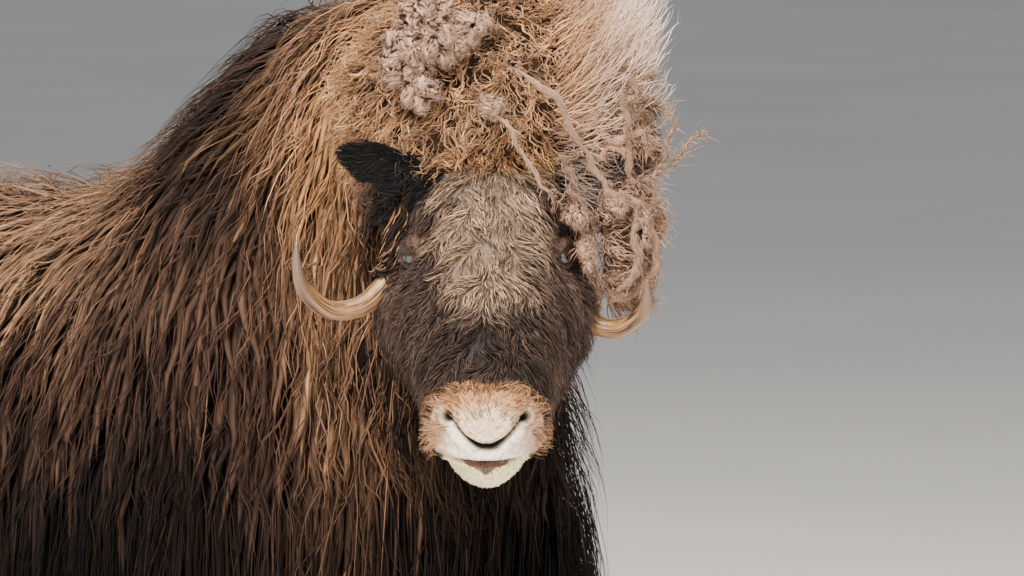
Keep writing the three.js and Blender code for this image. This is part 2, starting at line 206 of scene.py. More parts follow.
sides = dict(
    right=dict(side=-1, spread=1, drop=0, rise=1, earRoot=(78, 72, 53), earTip=(172, 92, 78)),
    left=dict(side=1, spread=0.85, drop=30, rise=0.74, earRoot=(78, 92, 32), earTip=(178, 138, 40)),
)
tailShape = dict(top=(0, 914, 922), end=(0, 958, 800), radius=34, root=(0, 780, 840), joint=(0, 934, 850),
                 rootRadius=16)
frontLeg = [(420, 66, 74, 4), (330, 60, 68, 4), (250, 49, 54, 2), (180, 41, 45, 0),
            (130, 44, 49, -2), (95, 51, 56, 0), (70, 54, 62, 6), (52, 51, 60, 9)]
hindLeg = [(420, 60, 84, -44), (340, 54, 70, -36), (260, 44, 55, -20), (185, 37, 43, -8),
           (130, 40, 45, -4), (95, 46, 51, 0), (70, 49, 56, 6), (52, 46, 53, 8)]
feet = dict(
    front_left=dict(x=138, y=-62, rows=frontLeg, scale=1, toeOut=7),
    front_right=dict(x=-136, y=-104, rows=frontLeg, scale=1, toeOut=-9),
    hind_left=dict(x=128, y=742, rows=hindLeg, scale=0.9, toeOut=8),
    hind_right=dict(x=-130, y=700, rows=hindLeg, scale=0.9, toeOut=-7),
)
hoof = dict(clawWidth=50, clawLength=118, cleft=6, coronet=52, dewHeight=82, dewSpread=24,
            dewSize=(13, 15, 20))


def trunkPoint(u, a, inset=0.0, belly=False):
    # superellipse rings square to the spine; belly lifts the underside up to the skin
    y, half, top, widest, bottom = rowAt(trunk["rows"], u)
    if belly:
        bottom = np.maximum(bottom, np.minimum(trunk["belly"], widest - 20))
    x, z = ring(np.maximum(half - inset, 0.02 * half), top - inset,
                widest, bottom + inset * 0.3, a, trunk["topRound"], trunk["hemRound"])
    y = trunk["middle"] + (y - trunk["middle"]) * (1 - 2 * inset / trunk["length"])
    return np.stack([x, y, z], -1)


def skirtPoint(u, a, inset=0.0):
    # upright curtain under the trunk's widest line: a runs down from it, u round the animal
    along = 0.5 - 0.5 * np.cos(2 * math.pi * u)
    y, half, _, widest, bottom = rowAt(trunk["rows"], along)
    side = np.where(u < 0.5, -1.0, 1.0)
    x = side * np.maximum(half - inset, 0)
    y = trunk["middle"] + (y - trunk["middle"]) * (1 - 2 * inset / trunk["length"])
    return np.stack([x, y, widest + (bottom - widest) * a], -1)


def neckPoint(u, a, inset=0.0):
    # upright superellipse rings square to a quadratic Bezier path in plan
    half, top, widest, bottom = rowAt(neck["rows"], u)
    across, z = ring(np.maximum(half - inset, 0.02 * half), top - inset, widest,
                     bottom + inset, a, neck["topRound"], neck["maneRound"])
    start, bend, end = [np.array(neck[k], float) for k in ("start", "bend", "end")]
    t = np.clip(u, 0.0, 1.0)[..., None]
    centre = start * (1 - t) ** 2 + bend * 2 * t * (1 - t) + end * t ** 2
    along = unit((bend - start) * (1 - t) + (end - bend) * t)
    centre = centre - along * (np.asarray(inset) * smooth(u, 0.7, 1))[..., None]
    return np.stack([centre[..., 0] - along[..., 1] * across,
                     centre[..., 1] + along[..., 0] * across, z], -1)


def nearestOnPath(points, path):
    # distance from each point to a polyline drawn finely through the path's points
    path = np.asarray(path, float)
    fine = np.stack(rowAt(path, np.linspace(0, 1, 40)), -1)
    flat = points.reshape(-1, 3)
    best = np.full(len(flat), 1e9)
    for a, b in zip(fine[:-1], fine[1:]):
        step = b - a
        t = np.clip((flat - a) @ step / (step @ step), 0, 1)[:, None]
        best = np.minimum(best, np.linalg.norm(flat - a - t * step, axis=1))
    return best.reshape(points.shape[:-1])


def rightHalf(p):
    # mirrors every point onto the side where x is positive
    return np.stack([np.abs(p[..., 0]), p[..., 1], p[..., 2]], -1)


def muzzleGaps(p):
    # distances to the slit, the mouth and the nostril's opening, seen from the muzzle's heart on
    # a ball about as big as the muzzle, so that the depth of a groove does not count
    heart = np.array(muzzle["heart"], float)

    def onBall(q):
        return unit(q - heart) * muzzle["ball"]

    half = onBall(rightHalf(p))
    paths = [onBall(np.array(muzzle[k], float)) for k in ("nostril", "mouth")]
    wing = np.linalg.norm(half - paths[0][0], axis=-1)
    return nearestOnPath(half, paths[0]), nearestOnPath(half, paths[1]), wing


def shapeMuzzle(p):
    # slits of the nostrils and the mouth are bell-shaped troughs, with a swelling beside each
    slit, mouth, wing = muzzleGaps(p)
    middle = smooth(-np.abs(p[..., 0]), -26, -8)
    deep = 11 * bell(slit, 2.6 + 2.0 * middle) + 9 * bell(wing, 6.5) - 2.4 * bell(slit - 9, 4.5)
    deep += 9 * bell(mouth, 2.2) * smooth(60 - np.abs(p[..., 0]), 0, 20) - 2.6 * bell(mouth - 7, 4.5)
    inward = unit(np.array(muzzle["heart"], float) - p)
    return p + inward * deep[..., None]


def lidFrame(side):
    # the eye's centre, its axis, and the directions along and across the opening of the lids
    axis = unit(np.array(eye["axis"]) * (side, 1, 1))
    length = unit(np.array([0, 1, 0]) - axis * axis[1])
    return np.array(eye["place"], float) * (side, 1, 1), axis, length, np.cross(axis, length) * side


def shapeLids(p, side):
    # skin near the eye lies on a sphere round it: two lids over the ball, an open almond between,
    # then folds that open outwards into the orbit's rim and fade into the face
    centre, axis, length, tall = lidFrame(side)
    q = p - centre
    r = np.linalg.norm(q, axis=-1)
    d = q / np.maximum(r, 1e-6)[..., None]
    away = np.arccos(np.clip(d @ axis, -1, 1))
    upper = smooth(d @ tall, -0.2, 0.5)
    m = np.hypot(d @ length / eye["openLong"], d @ tall / eye["openTall"])
    opening = (m < 1) & (away < 1.2)
    rim = (1.2 + 2.4 * bell(m - 1.3, 0.22) - 1.5 * bell(m - 1.75, 0.14)
           + (2.2 + 2.5 * upper) * bell(m - 2.05, 0.2) - 1.2 * upper * bell(m - 2.45, 0.12))
    lid = eye["radius"] + np.where(opening, -5 + 6.2 * smooth(m, 0.84, 1.0), rim)
    lid = lid + 5 * smooth(away, 1.1, 1.9)
    hold = smooth(2.1 - away, 0, 0.75) * smooth(62 - r, 0, 24)
    return centre + d * (lid * hold + r * (1 - hold))[..., None]


def headHair(y, a):
    # depth of the hair: short on the muzzle and brow, longer on cheeks, longest under the jaw
    under = smooth(-np.sin(a), -0.45, 0.55)
    depth = 8 + 22 * under
    depth = depth * smooth(y, -262, -150) + 1.5
    return depth + 20 * smooth(y, 40, 110)


def headPoint(u, a, inset=0.0, bare=False):
    # superellipse rings square to the face's axis, drawn in at the temples by a bell and under the
    # lips by a share, then grooved; bare takes off the hair's depth and adds the lids
    y, half, top, widest, bottom = rowAt(head["rows"], u)
    if bare:
        inset = headHair(y, a)
    x, z = ring(np.maximum(half - inset, 0.02 * half), top - inset * np.sin(np.clip(a, 0, math.pi)),
                widest, bottom + inset, a, head["browRound"], head["jawRound"])
    t = head["temple"]
    drawn = t["depth"] * bell(y - t["y"], t["along"]) * bell(z - t["z"], t["tall"])
    x = x * (1 - drawn * (0.85 if bare else 1) / np.maximum(half, 1))
    c = head["chin"]
    lipLine = c["lip"] - c["fall"] * (x / c["halfLip"]) ** 2
    x = x * (1 - c["narrower"] * smooth(lipLine - z, 0, c["step"]) * smooth(-y, 205, 235))
    y = y + np.asarray(inset) * smooth(-y, 240, 287) * 0.6
    p = shapeMuzzle(np.stack([x, y, z], -1))
    if bare:
        for side in (-1, 1):
            p = shapeLids(p, side)
    return headToBody(p)


def onSphere(u, a):
    # unit vector at the polar angle pi u from the top and the turn a
    polar = math.pi * u
    return np.stack([np.sin(polar) * np.cos(a), np.sin(polar) * np.sin(a), np.cos(polar)], -1)


def woolPoint(shape, u, a, inset=0.0):
    # ellipsoid with soft lumps, turned with the head in plan; u runs from the top down
    n = onSphere(u, a)
    lump = 0.045 * np.sin(6 * n[..., 0] + 1) * np.sin(7 * n[..., 1] + 2) * np.sin(6 * n[..., 2])
    size = np.array(shape["size"], float) - np.asarray(inset)[..., None]
    return (n * (1 + lump)[..., None] * size) @ yawTurn.T + shape["centre"]


crownSurface, curtainSurface = partial(woolPoint, crown), partial(woolPoint, curtain)


def earFrame(shape):
    # root of the ear and its directions along, across and to the front, by cross products
    mirror = np.array([shape["side"], 1, 1])
    root, tip = np.array(shape["earRoot"]) * mirror, np.array(shape["earTip"]) * mirror
    along = unit((tip - root).astype(float))
    wide = unit(np.cross(along, np.array([shape["side"] * 0.25, -0.8, 0.55])))
    return root, along, wide, unit(np.cross(wide, along))


def earPoint(shape, u, a, inset=0.0):
    # cupped leaf: width follows a sine along it, the middle sinks by the cup
    root, along, wide, front = earFrame(shape)
    leaf = np.sin(math.pi * (0.14 + 0.86 * u) ** 0.9) ** earShape["tipRound"]
    across = np.cos(a) * np.maximum(earShape["halfWidth"] * leaf - inset, 0.3)
    cup = earShape["cup"] * leaf * (1 - 2 * (across / earShape["halfWidth"]) ** 2)
    thick = np.sin(a) * (earShape["thickness"] / 2 * (0.5 + 0.5 * leaf) - inset * 0.5) - cup
    out = u * (earShape["length"] - inset)
    p = root + along * out[..., None] + wide * across[..., None] + front * thick[..., None]
    return headToBody(p)


def legPoint(foot, u, a, inset=0.0):
    # level ellipses by the leg's table, less the inset
    z, across, along, forward = rowAt(foot["rows"], u)
    return np.stack([foot["x"] + (across - inset) * np.cos(a),
                     foot["y"] - forward + (along - inset) * np.sin(a), z], -1)


def tailPoint(u, a, inset=0.0):
    # flattened rings along a straight line, with a radius that follows the root of a sine
    radius = tailShape["radius"] * np.sqrt(np.sin(math.pi * (0.18 + 0.8 * u))) - inset
    top, end = np.array(tailShape["top"]), np.array(tailShape["end"])
    spine = top + (end - top) * u[..., None]
    return spine + np.stack([radius * np.cos(a), 0.6 * radius * np.sin(a), 0 * a], -1)


def tailRootPoint(u, a):
    # round bar from inside the rump to the tail's upper third
    start, end = np.array(tailShape["root"], float), np.array(tailShape["joint"], float)
    ring = np.stack([np.cos(a), 0 * a, np.sin(a)], -1) * tailShape["rootRadius"]
    return start + (end - start) * u[..., None] + ring


def hornCentre(shape, u):
    # the table's curve, spread, dropped and flattened towards its free end as the side says
    x, y, z, radius = rowAt(hornShape["rows"], u)
    free = smooth(u, 0.25, 0.55)
    hooked = hornShape["lowest"] + shape["rise"] * (z - hornShape["lowest"]) - shape["drop"]
    x = shape["side"] * x * (1 + (shape["spread"] - 1) * free)
    return np.stack([x, y, z + (hooked - z) * free], -1), radius


def hornPoint(shape, u, a):
    # round sections along a hooked curve, with shallow ridges round the base and long grooves
    centre, radius = hornCentre(shape, u)
    along = unit(hornCentre(shape, np.minimum(u + 0.01, 1))[0]
                 - hornCentre(shape, np.maximum(u - 0.01, 0))[0])
    across = unit(np.cross(np.array([0.2 * shape["side"], 1, 0.1]), along))
    other = np.cross(along, across)
    grooves = 0.25 * np.sin(17 * a + 9 * u) + 0.2 * np.sin(29 * a - 14 * u)
    rings = 0.35 * np.sin(150 * u + 1.5 * np.sin(a)) * smooth(0.75 - u, 0, 0.4)
    radius = radius + (grooves + rings) * np.minimum(radius / 14, 1)
    p = centre + across * (radius * np.cos(a))[..., None] + other * (radius * np.sin(a))[..., None]
    return headToBody(p)


# ---- markings: one function of place gives skin and coat their colour

tone = dict(                     # red, green and blue in linear light
    flank=(0.072, 0.038, 0.025), flankLow=(0.0042, 0.0027, 0.0023), mane=(0.023, 0.0128, 0.009),
    saddle=(0.27, 0.155, 0.085), gold=(0.32, 0.170, 0.088), crown=(0.36, 0.185, 0.082),
    fringe=(0.80, 0.57, 0.44), brow=(0.33, 0.225, 0.148), cheek=(0.066, 0.042, 0.033),
    bridge=(0.040, 0.026, 0.020), tan=(0.50, 0.255, 0.115), nose=(0.74, 0.54, 0.35),
    lip=(0.95, 0.82, 0.65), chin=(0.95, 0.77, 0.42), dark=(0.008, 0.006, 0.006),
    temple=(0.022, 0.014, 0.011), pink=(0.13, 0.060, 0.040), orbit=(0.060, 0.036, 0.028),
    arch=(0.15, 0.08, 0.045), notch=(0.05, 0.03, 0.026),
    felt=(0.43, 0.25, 0.16), ear=(0.006, 0.005, 0.005),
    leg=(0.42, 0.32, 0.22), beardAndShade=(0.010, 0.007, 0.006),
)


# painted shadow in the hollows of the wool, with dark hair beside the brow: level place across and up,
# half width and half height
shadowPockets = [(-103, 52, 30, 66), (132, 8, 17, 30), (84, 78, 13, 34)]


def mix(low, high, share):
    # low + (high - low) share, for each point
    return low + (np.asarray(high, float) - low) * share[..., None]


def faceColour(p):
    # p in the head frame: pale brow strip, dark sides, dark bridge, tan fringe, pale nose and lips;
    # painted shade under the wool, in the nose's crease, nostrils and mouth, and below the lip
    x, y, z = np.abs(p[..., 0]), p[..., 1], p[..., 2]
    wobble = ripple(p, 60, 5)
    colour = np.broadcast_to(np.array(tone["cheek"]), p.shape)
    strip = smooth(66 + 0.10 * y + 12 * wobble - x, -8, 30) * smooth(z, -10, 25)
    pale = strip * smooth(y + 16 * wobble, -150, -70)
    mottle = np.exp(0.35 * ripple(p, 26, 11) + 0.25 * ripple(p, 9, 12))
    colour = mix(colour, tone["brow"], pale * smooth(mottle, 0.45, 1.0))
    bridge = smooth(-y, 90, 150) * smooth(z, -40, 10) * smooth(70 - x, -10, 15)
    colour = mix(colour, tone["bridge"], bridge * (1 - pale))
    # painted shade under the wool's lower edge: the top of the face darkened
    colour = mix(colour, tone["temple"], smooth(y + 8 * wobble, 52, 84) * 0.8)
    # near-black on the upper sides of the face: partly dark hair, partly painted shadow beside the
    # forehead
    temple = smooth(y, 18, 45) * smooth(x, 74, 94)
    colour = mix(colour, tone["dark"], temple)
    # dark under the jaw: partly dark beard hair, partly painted shade below the head
    colour = mix(colour, tone["beardAndShade"], smooth(-z - 0.2 * y, 70, 130) * smooth(y, -262, -225))
    narrow = smooth(46 + 0.8 * (-y - 214) + 3 * wobble - x, -7, 5)
    fringe = smooth(-y + 5 * wobble, 212, 228) * smooth(z, -88, -60) * narrow
    colour = mix(colour, tone["tan"], fringe)
    snout = smooth(-y - 0.10 * x + 2 * wobble, 240, 250) * smooth(z, -62, -48) * narrow
    grain = np.exp(0.10 * ripple(p, 14, 14) + 0.16 * ripple(p, 5, 15))
    colour = mix(colour, np.array(tone["nose"]) * grain[..., None], snout)
    half = rightHalf(p)
    slit, mouth, wing = muzzleGaps(p)
    # painted shade in the crease down the middle of the nose
    creaseShade = bell(x, 1.1) * smooth(-z, 2, 12) * smooth(z, -22, -16) * smooth(-y, 250, 262)
    colour = mix(colour, tone["bridge"], creaseShade * 0.6)
    belowSlit = smooth(-z + 0.42 * (x - 7) + 8 * smooth(x, 38, 60) - 14, 0, 5)
    lip = smooth(-y, 222, 238) * belowSlit * smooth(narrow, 0.3, 1)
    colour = mix(colour, tone["lip"], lip)
    outerLip = lip * smooth(x + 4 * wobble, 33, 54) * smooth(z, -56, -34)
    colour = mix(colour, tone["tan"], outerLip * 0.85)
    c = head["chin"]
    lipLine = c["lip"] - c["fall"] * (x / c["halfLip"]) ** 2
    chin = smooth(lipLine - z, -1, 2)
    fromChin = np.hypot(x / 48, (z + 40) / 54) + 0.04 * ripple(p, 9, 6)
    colour = mix(colour, tone["chin"], chin * smooth(-y, 215, 230))
    # dark ring round the chin: partly dark hair, partly painted shade below the lip
    colour = mix(colour, tone["beardAndShade"], chin * smooth(fromChin, 0.98, 1.06) * smooth(-y, 150, 215))
    lowerLip = chin * smooth(z - lipLine + 8 - 0.0085 * x * x, 0, 1.5) * smooth(-y, 240, 260)
    colour = mix(colour, tone["pink"], lowerLip)
    notch = smooth(13 - x - 0.8 * (lipLine - 8 - z), -2, 3) * smooth(lipLine - 6 - z, 0, 2)
    colour = mix(colour, tone["notch"], notch * smooth(-y, 240, 260) * 0.9)
    # painted shade in the nostril slits and openings
    broad = 2.4 + 2.4 * smooth(-x, -24, -8)
    colour = mix(colour, tone["dark"], smooth(-slit / broad, -1.2, -0.5) * smooth(-y, 236, 246))
    colour = mix(colour, tone["dark"], smooth(-wing, -10.5, -4))
    # dark line of the mouth: partly the lip's edge, partly painted shade in its groove
    mouthLine = smooth(-mouth, -3.0, -1.5) * smooth(36 - x, -4, 8)
    colour = mix(colour, tone["dark"], mouthLine * smooth(-y, 240, 256))
    toEye = half - np.array(eye["place"])
    _, axis, length, tall = lidFrame(1)
    far = np.linalg.norm(toEye, axis=-1)
    facing = unit(toEye)
    colour = mix(colour, tone["orbit"], smooth(-far, -46, -26) * smooth(facing @ axis, -0.4, 0.2))
    fromOpening = np.hypot(facing @ length / eye["openLong"], facing @ tall / eye["openTall"])
    arch = bell(fromOpening - 2.0, 0.28) * smooth(facing @ tall, 0.0, 0.6) * smooth(-far, -34, -26)
    colour = mix(colour, tone["arch"], arch * 0.8)
    lidEdge = smooth(-np.abs(far - 19.2), -2.0, -0.8) * smooth(facing @ axis, 0.2, 0.6)
    return mix(colour, tone["dark"], lidEdge * smooth(-fromOpening, -1.16, -1.0))


def toLevel(p):
    # across to the animal's left of the face, forward of the eyes and up from them
    q = (p - np.array(body["headPlace"], float)) @ yawTurn
    return np.stack([q[..., 0], -q[..., 1], q[..., 2]], -1)


def fromLevel(q):
    # the inverse of toLevel
    q = np.asarray(q, float)
    return np.stack([q[..., 0], -q[..., 1], q[..., 2]], -1) @ yawTurn.T + body["headPlace"]


def markings(p):
    # p in body millimetres: flank darkens downwards, pale saddle, golden crown and nape, dark face;
    # painted shade under the wool's edge, in its hollows and under the head
    y, z = p[..., 1], p[..., 2]
    wobble = ripple(p, 260, 3)
    colour = mix(np.array(tone["flankLow"]), tone["flank"], smooth(z + 80 * wobble, 660, 950))
    saddle = bell(y - 420, 250) * smooth(z + 60 * wobble, 900, 1020)
    colour = mix(colour, tone["saddle"], saddle * 0.9)
    hump = smooth(z + 40 * wobble, 960, 1160) * smooth(-y, -300, -60)
    colour = mix(colour, tone["mane"], hump)
    level = toLevel(p)
    band = (smooth(level[..., 0] + 22 * wobble, -232, -180) * smooth(-level[..., 0], 60, 100)
            * smooth(level[..., 2], -270, -110) * smooth(level[..., 1], -420, -240))
    colour = mix(colour, tone["gold"], band * (0.55 + 0.4 * ripple(p, 50, 9)))
    away = (p - crown["centre"]) @ yawTurn
    reach = np.linalg.norm(away / np.array(crown["size"]), axis=-1)
    colour = mix(colour, tone["gold"], smooth(-reach, -1.38, -1.12) * smooth(z, 940, 1060))
    colour = mix(colour, tone["crown"], smooth(-reach, -1.22, -1.02) * smooth(z, 1060, 1110))
    # painted shade under the wool's lower edge: the hair there darkened by up to 0.55
    under = smooth(-level[..., 2] + 12 * wobble, -128, -96) * smooth(80 - np.abs(level[..., 0]), -10, 20)
    colour = colour * (1 - 0.55 * under * smooth(level[..., 1], -150, -60))[..., None]
    paleSide = (smooth(level[..., 0], 60, 150) * smooth(level[..., 2], 40, 110)
                * smooth(level[..., 1], -220, -130))
    colour = mix(colour, tone["fringe"], paleSide * 0.75)
    # painted shadow: the hollows of the wool darkened towards near-black
    for across, up, wide, tall in shadowPockets:
        shadowReach = np.hypot((level[..., 0] - across) / wide, (level[..., 2] - up) / tall)
        deepIn = 0.93 if across < 0 else 0.93 * smooth(level[..., 1], -110, -60)
        colour = mix(colour, tone["dark"], smooth(-shadowReach, -1.3, -0.75) * deepIn)
    local = bodyToHead(p)
    # darker under the head and down the throat: partly dark throat hair, partly painted shade beneath the
    # head
    throat = smooth(-y, 120, 260) * smooth(900 - z, -60, 80)
    colour = mix(colour, tone["flankLow"], throat * 0.6 * (1 - band))
    onFace = (smooth(-local[..., 1], -100, -80) * smooth(local[..., 2], -232, -222)
              * smooth(142 - np.abs(local[..., 0]), -6, 6) * smooth(reach, 0.86, 0.98))
    colour = mix(colour, faceColour(local), onFace)
    gone = (p - curtain["centre"]) @ yawTurn
    hang = np.linalg.norm(gone / np.array(curtain["size"]), axis=-1)
    colour = mix(colour, np.array(tone["felt"]) * 1.15, smooth(-hang, -1.25, -1.05) * 0.8)
    for shape in sides.values():
        mirror = np.array([shape["side"], 1, 1])
        root, tip = shape["earRoot"] * mirror, shape["earTip"] * mirror
        share = np.clip((local - root) @ (tip - root) / np.sum((tip - root) ** 2), 0, 1)
        gap = np.linalg.norm(local - root - share[..., None] * (tip - root), axis=-1)
        colour = mix(colour, tone["ear"], smooth(-gap, -38, -30))
    leg = smooth(-z + 30 * wobble, -390, -290)
    return mix(colour, tone["leg"], leg)


# ---- materials

def newMaterial(name, sockets):
    # a material whose shader has the numbers given for its sockets
    material = bpy.data.materials.new(name)
    material.use_nodes = True
    tree = material.node_tree
    shader = tree.nodes["Principled BSDF"]
    for socket, value in sockets.items():
        shader.inputs[socket].default_value = value
    return material, tree, shader


def addNode(tree, kind, sockets={}, **settings):
    # a node of the kind, with its settings and the numbers given for its sockets
    node = tree.nodes.new("ShaderNode" + kind)
    for setting, value in settings.items():
        setattr(node, setting, value)
    for socket, value in sockets.items():
        node.inputs[socket].default_value = value
    return node


def linkNodes(tree, *pairs):
    # joins each output to its input
    for out, into in pairs:
        tree.links.new(out, into)


def addRelief(tree, shader, height, strength, distance):
    # bump on the shader's normal from the height
    relief = addNode(tree, "Bump", {"Strength": strength, "Distance": distance})
    linkNodes(tree, (height, relief.inputs["Height"]),
              (relief.outputs["Normal"], shader.inputs["Normal"]))


def shadeCoat(tree, shader, noise, ramp):
    # colour = the coat attribute times the ramp of the noise
    tint = addNode(tree, "Attribute", attribute_name="coat")
    shade = addNode(tree, "VectorMath", operation="SCALE")
    linkNodes(tree, (noise.outputs["Fac"], ramp.inputs["Value"]),
              (tint.outputs["Color"], shade.inputs[0]),
              (ramp.outputs["Result"], shade.inputs["Scale"]),
              (shade.outputs["Vector"], shader.inputs["Base Color"]))


def strandNoise(tree, stretch, sockets):
    # noise on the strand map, stretched along the lock or horn
    strand = addNode(tree, "UVMap", uv_map="strand")
    mapping = addNode(tree, "Mapping", {"Scale": stretch})
    noise = addNode(tree, "TexNoise", {"Scale": 1, **sockets})
    linkNodes(tree, (strand.outputs["UV"], mapping.inputs["Vector"]),
              (mapping.outputs["Vector"], noise.inputs["Vector"]))
    return strand, noise


def placeNoise(tree, scale, detail):
    # noise on the object's own place
    place = addNode(tree, "TexCoord")
    noise = addNode(tree, "TexNoise", {"Scale": scale, "Detail": detail})
    linkNodes(tree, (place.outputs["Object"], noise.inputs["Vector"]))
    return noise


def hairMaterial(name, roughness, contrast, streak, bump, gloss, sheen=0.0):
    # colour comes from the coat attribute, streaked along each lock by noise on its strand map
    material, tree, shader = newMaterial(name, {
        "Roughness": roughness, "Specular IOR Level": gloss,
        "Sheen Weight": sheen, "Sheen Roughness": 0.45})
    noise = strandNoise(tree, streak, {"Detail": 3})[1]
    shadeCoat(tree, shader, noise, addNode(tree, "MapRange", {
        "From Min": 0.3, "From Max": 0.7, "To Min": 1 - contrast, "To Max": 1 + contrast}))
    addRelief(tree, shader, noise.outputs["Fac"], bump, 0.002)
    return material


def skinMaterial():
    # felted short hair: the coat attribute, mottled and raised by fine noise
    material, tree, shader = newMaterial("skin", {"Roughness": 0.75, "Specular IOR Level": 0.25})
    noise = placeNoise(tree, 420, 4)
    shadeCoat(tree, shader, noise, addNode(tree, "MapRange", {"To Min": 0.55, "To Max": 1.4}))
    addRelief(tree, shader, noise.outputs["Fac"], 0.35, 0.0015)
    return material


def hornMaterial():
    # tan horn: long dark streaks from noise stretched along the horn's map, grey towards the tip
    material, tree, shader = newMaterial("horn", {"Roughness": 0.38, "Specular IOR Level": 0.5})
    strand, noise = strandNoise(tree, (16, 3.5, 1), {"Detail": 5, "Roughness": 0.65})
    streaks = addNode(tree, "ValToRGB")
    band = streaks.color_ramp
    band.elements[0].position, band.elements[0].color = 0.40, (0.045, 0.026, 0.017, 1)
    band.elements[1].position, band.elements[1].color = 0.76, (0.58, 0.345, 0.165, 1)
    band.elements.new(0.50).color = (0.32, 0.165, 0.068, 1)
    split = addNode(tree, "SeparateXYZ")
    tipShare = addNode(tree, "MapRange", {"From Min": 0.72, "From Max": 1.0, "To Max": 0.75})
    tipTone = addNode(tree, "Mix", data_type="RGBA")
    tipTone.inputs["B"].default_value = (0.13, 0.105, 0.09, 1)
    linkNodes(tree, (noise.outputs["Fac"], streaks.inputs["Fac"]),
              (strand.outputs["UV"], split.inputs["Vector"]),
              (split.outputs["Y"], tipShare.inputs["Value"]),
              (tipShare.outputs["Result"], tipTone.inputs["Factor"]),
              (streaks.outputs["Color"], tipTone.inputs["A"]),
              (tipTone.outputs["Result"], shader.inputs["Base Color"]))
    addRelief(tree, shader, noise.outputs["Fac"], 0.4, 0.0008)
    return material


def plainMaterial(name, low, high, scale, roughness, bump):
    # two tones mixed by noise on the object's own place, with the same noise as relief
    material, tree, shader = newMaterial(name, {"Roughness": roughness})
    noise = placeNoise(tree, scale, 5)
    ramp = addNode(tree, "ValToRGB")
    ramp.color_ramp.elements[0].position, ramp.color_ramp.elements[0].color = 0.35, (*low, 1)
    ramp.color_ramp.elements[1].position, ramp.color_ramp.elements[1].color = 0.68, (*high, 1)
    linkNodes(tree, (noise.outputs["Fac"], ramp.inputs["Fac"]),
              (ramp.outputs["Color"], shader.inputs["Base Color"]))
    addRelief(tree, shader, noise.outputs["Fac"], bump, 0.001)
    return material


def eyeMaterial():
    # wet and smooth; iris, slot pupil and white come from the coat attribute
    material, tree, shader = newMaterial("eye", {"Roughness": 0.12, "Coat Weight": 1.0,
                                                 "Coat Roughness": 0.10})
    tint = addNode(tree, "Attribute", attribute_name="coat")
    linkNodes(tree, (tint.outputs["Color"], shader.inputs["Base Color"]))
    return material


finish = dict(
    skin=skinMaterial(), horn=hornMaterial(), eye=eyeMaterial(),
    guard=hairMaterial("guard_hair", 0.55, 0.6, (11, 1.6, 1), 0.7, 0.13),
    wool=hairMaterial("wool", 0.8, 0.45, (7, 5, 1), 0.7, 0.15, 0.2),
    short=hairMaterial("short_hair", 0.6, 0.4, (5, 1.5, 1), 0.5, 0.14),
    hoof=plainMaterial("hoof", (0.016, 0.013, 0.011), (0.06, 0.05, 0.042), 60, 0.45, 0.35),
)
print("materials made")


# ---- meshes from arrays

def newObject(name, points, faces, material, inBody=True):
    # faces is a list of index arrays, each for faces of one size; body points go through toWorld
    mesh = bpy.data.meshes.new(name)
    loops = np.concatenate([f.ravel() for f in faces]).astype(np.int32)
    sizes = np.concatenate([np.full(len(f), f.shape[1]) for f in faces])
    mesh.vertices.add(len(points))
    place = toWorld(points) if inBody else points
    mesh.vertices.foreach_set("co", place.astype(np.float32).ravel())
    mesh.loops.add(len(loops))
    mesh.loops.foreach_set("vertex_index", loops)
    mesh.polygons.add(len(sizes))
    starts = np.concatenate([[0], np.cumsum(sizes)[:-1]])
    mesh.polygons.foreach_set("loop_start", starts.astype(np.int32))
    mesh.polygons.foreach_set("loop_total", sizes.astype(np.int32))
    mesh.polygons.foreach_set("use_smooth", np.ones(len(sizes), bool))
    mesh.update(calc_edges=True)
    mesh.validate()
    mesh.materials.append(material)
    made = bpy.data.objects.new(name, mesh)
    bpy.context.scene.collection.objects.link(made)
    return made


def setColour(made, colour):
    # writes one colour for each point as the coat attribute
    layer = made.data.color_attributes.new("coat", "FLOAT_COLOR", "POINT")
    rgba = np.concatenate([colour, np.ones((len(colour), 1))], 1)
    layer.data.foreach_set("color", rgba.astype(np.float32).ravel())


def setUv(made, name, perVertex):
    # spreads one place for each point over the corners of the faces
    index = np.empty(len(made.data.loops), np.int32)
    made.data.loops.foreach_get("vertex_index", index)
    layer = made.data.uv_layers.new(name=name)
    layer.data.foreach_set("uv", perVertex[index].astype(np.float32).ravel())


def closedGrid(p, startPoint, endPoint):
    # rows of rings joined into quads, each end closed by a fan to its pole, faces outwards
    rows, cols = p.shape[:2]
    index = np.arange(rows * cols).reshape(rows, cols)
    nextCol = np.roll(index, -1, 1)
    quads = np.stack([index[:-1], nextCol[:-1], nextCol[1:], index[1:]], -1).reshape(-1, 4)
    start, end = rows * cols, rows * cols + 1
    fans = np.concatenate([np.stack([nextCol[0], index[0], np.full(cols, start)], -1),
                           np.stack([index[-1], nextCol[-1], np.full(cols, end)], -1)])
    points = np.concatenate([p.reshape(-1, 3), [startPoint, endPoint]])
    a, b, c = points[quads[:, 0]], points[quads[:, 1]], points[quads[:, 2]]
    middle = points.mean(0)
    if np.einsum("ij,ij->i", a - middle, np.cross(b - middle, c - middle)).sum() < 0:
        quads, fans = quads[:, ::-1], fans[:, ::-1]
    return points, [quads, fans]


def surfaceGrid(shape, us, angles):
    # samples a surface at every pair of u and angle and closes its ends at their middles
    u, a = np.meshgrid(us, angles, indexing="ij")
    p = shape(u, a)
    return closedGrid(p, p[0].mean(0), p[-1].mean(0))


def spaced(count, low, high, crowd):
    # samples from low to high, closer together where crowd is larger
    fine = np.linspace(low, high, 4000)
    total = np.cumsum(crowd(fine))
    share = (total - total[0]) / (total[-1] - total[0])
    return np.interp(np.linspace(0, 1, count), share, fine)


# ---- skin: one closed surface joined from trunk, neck, head, legs, ears and tail

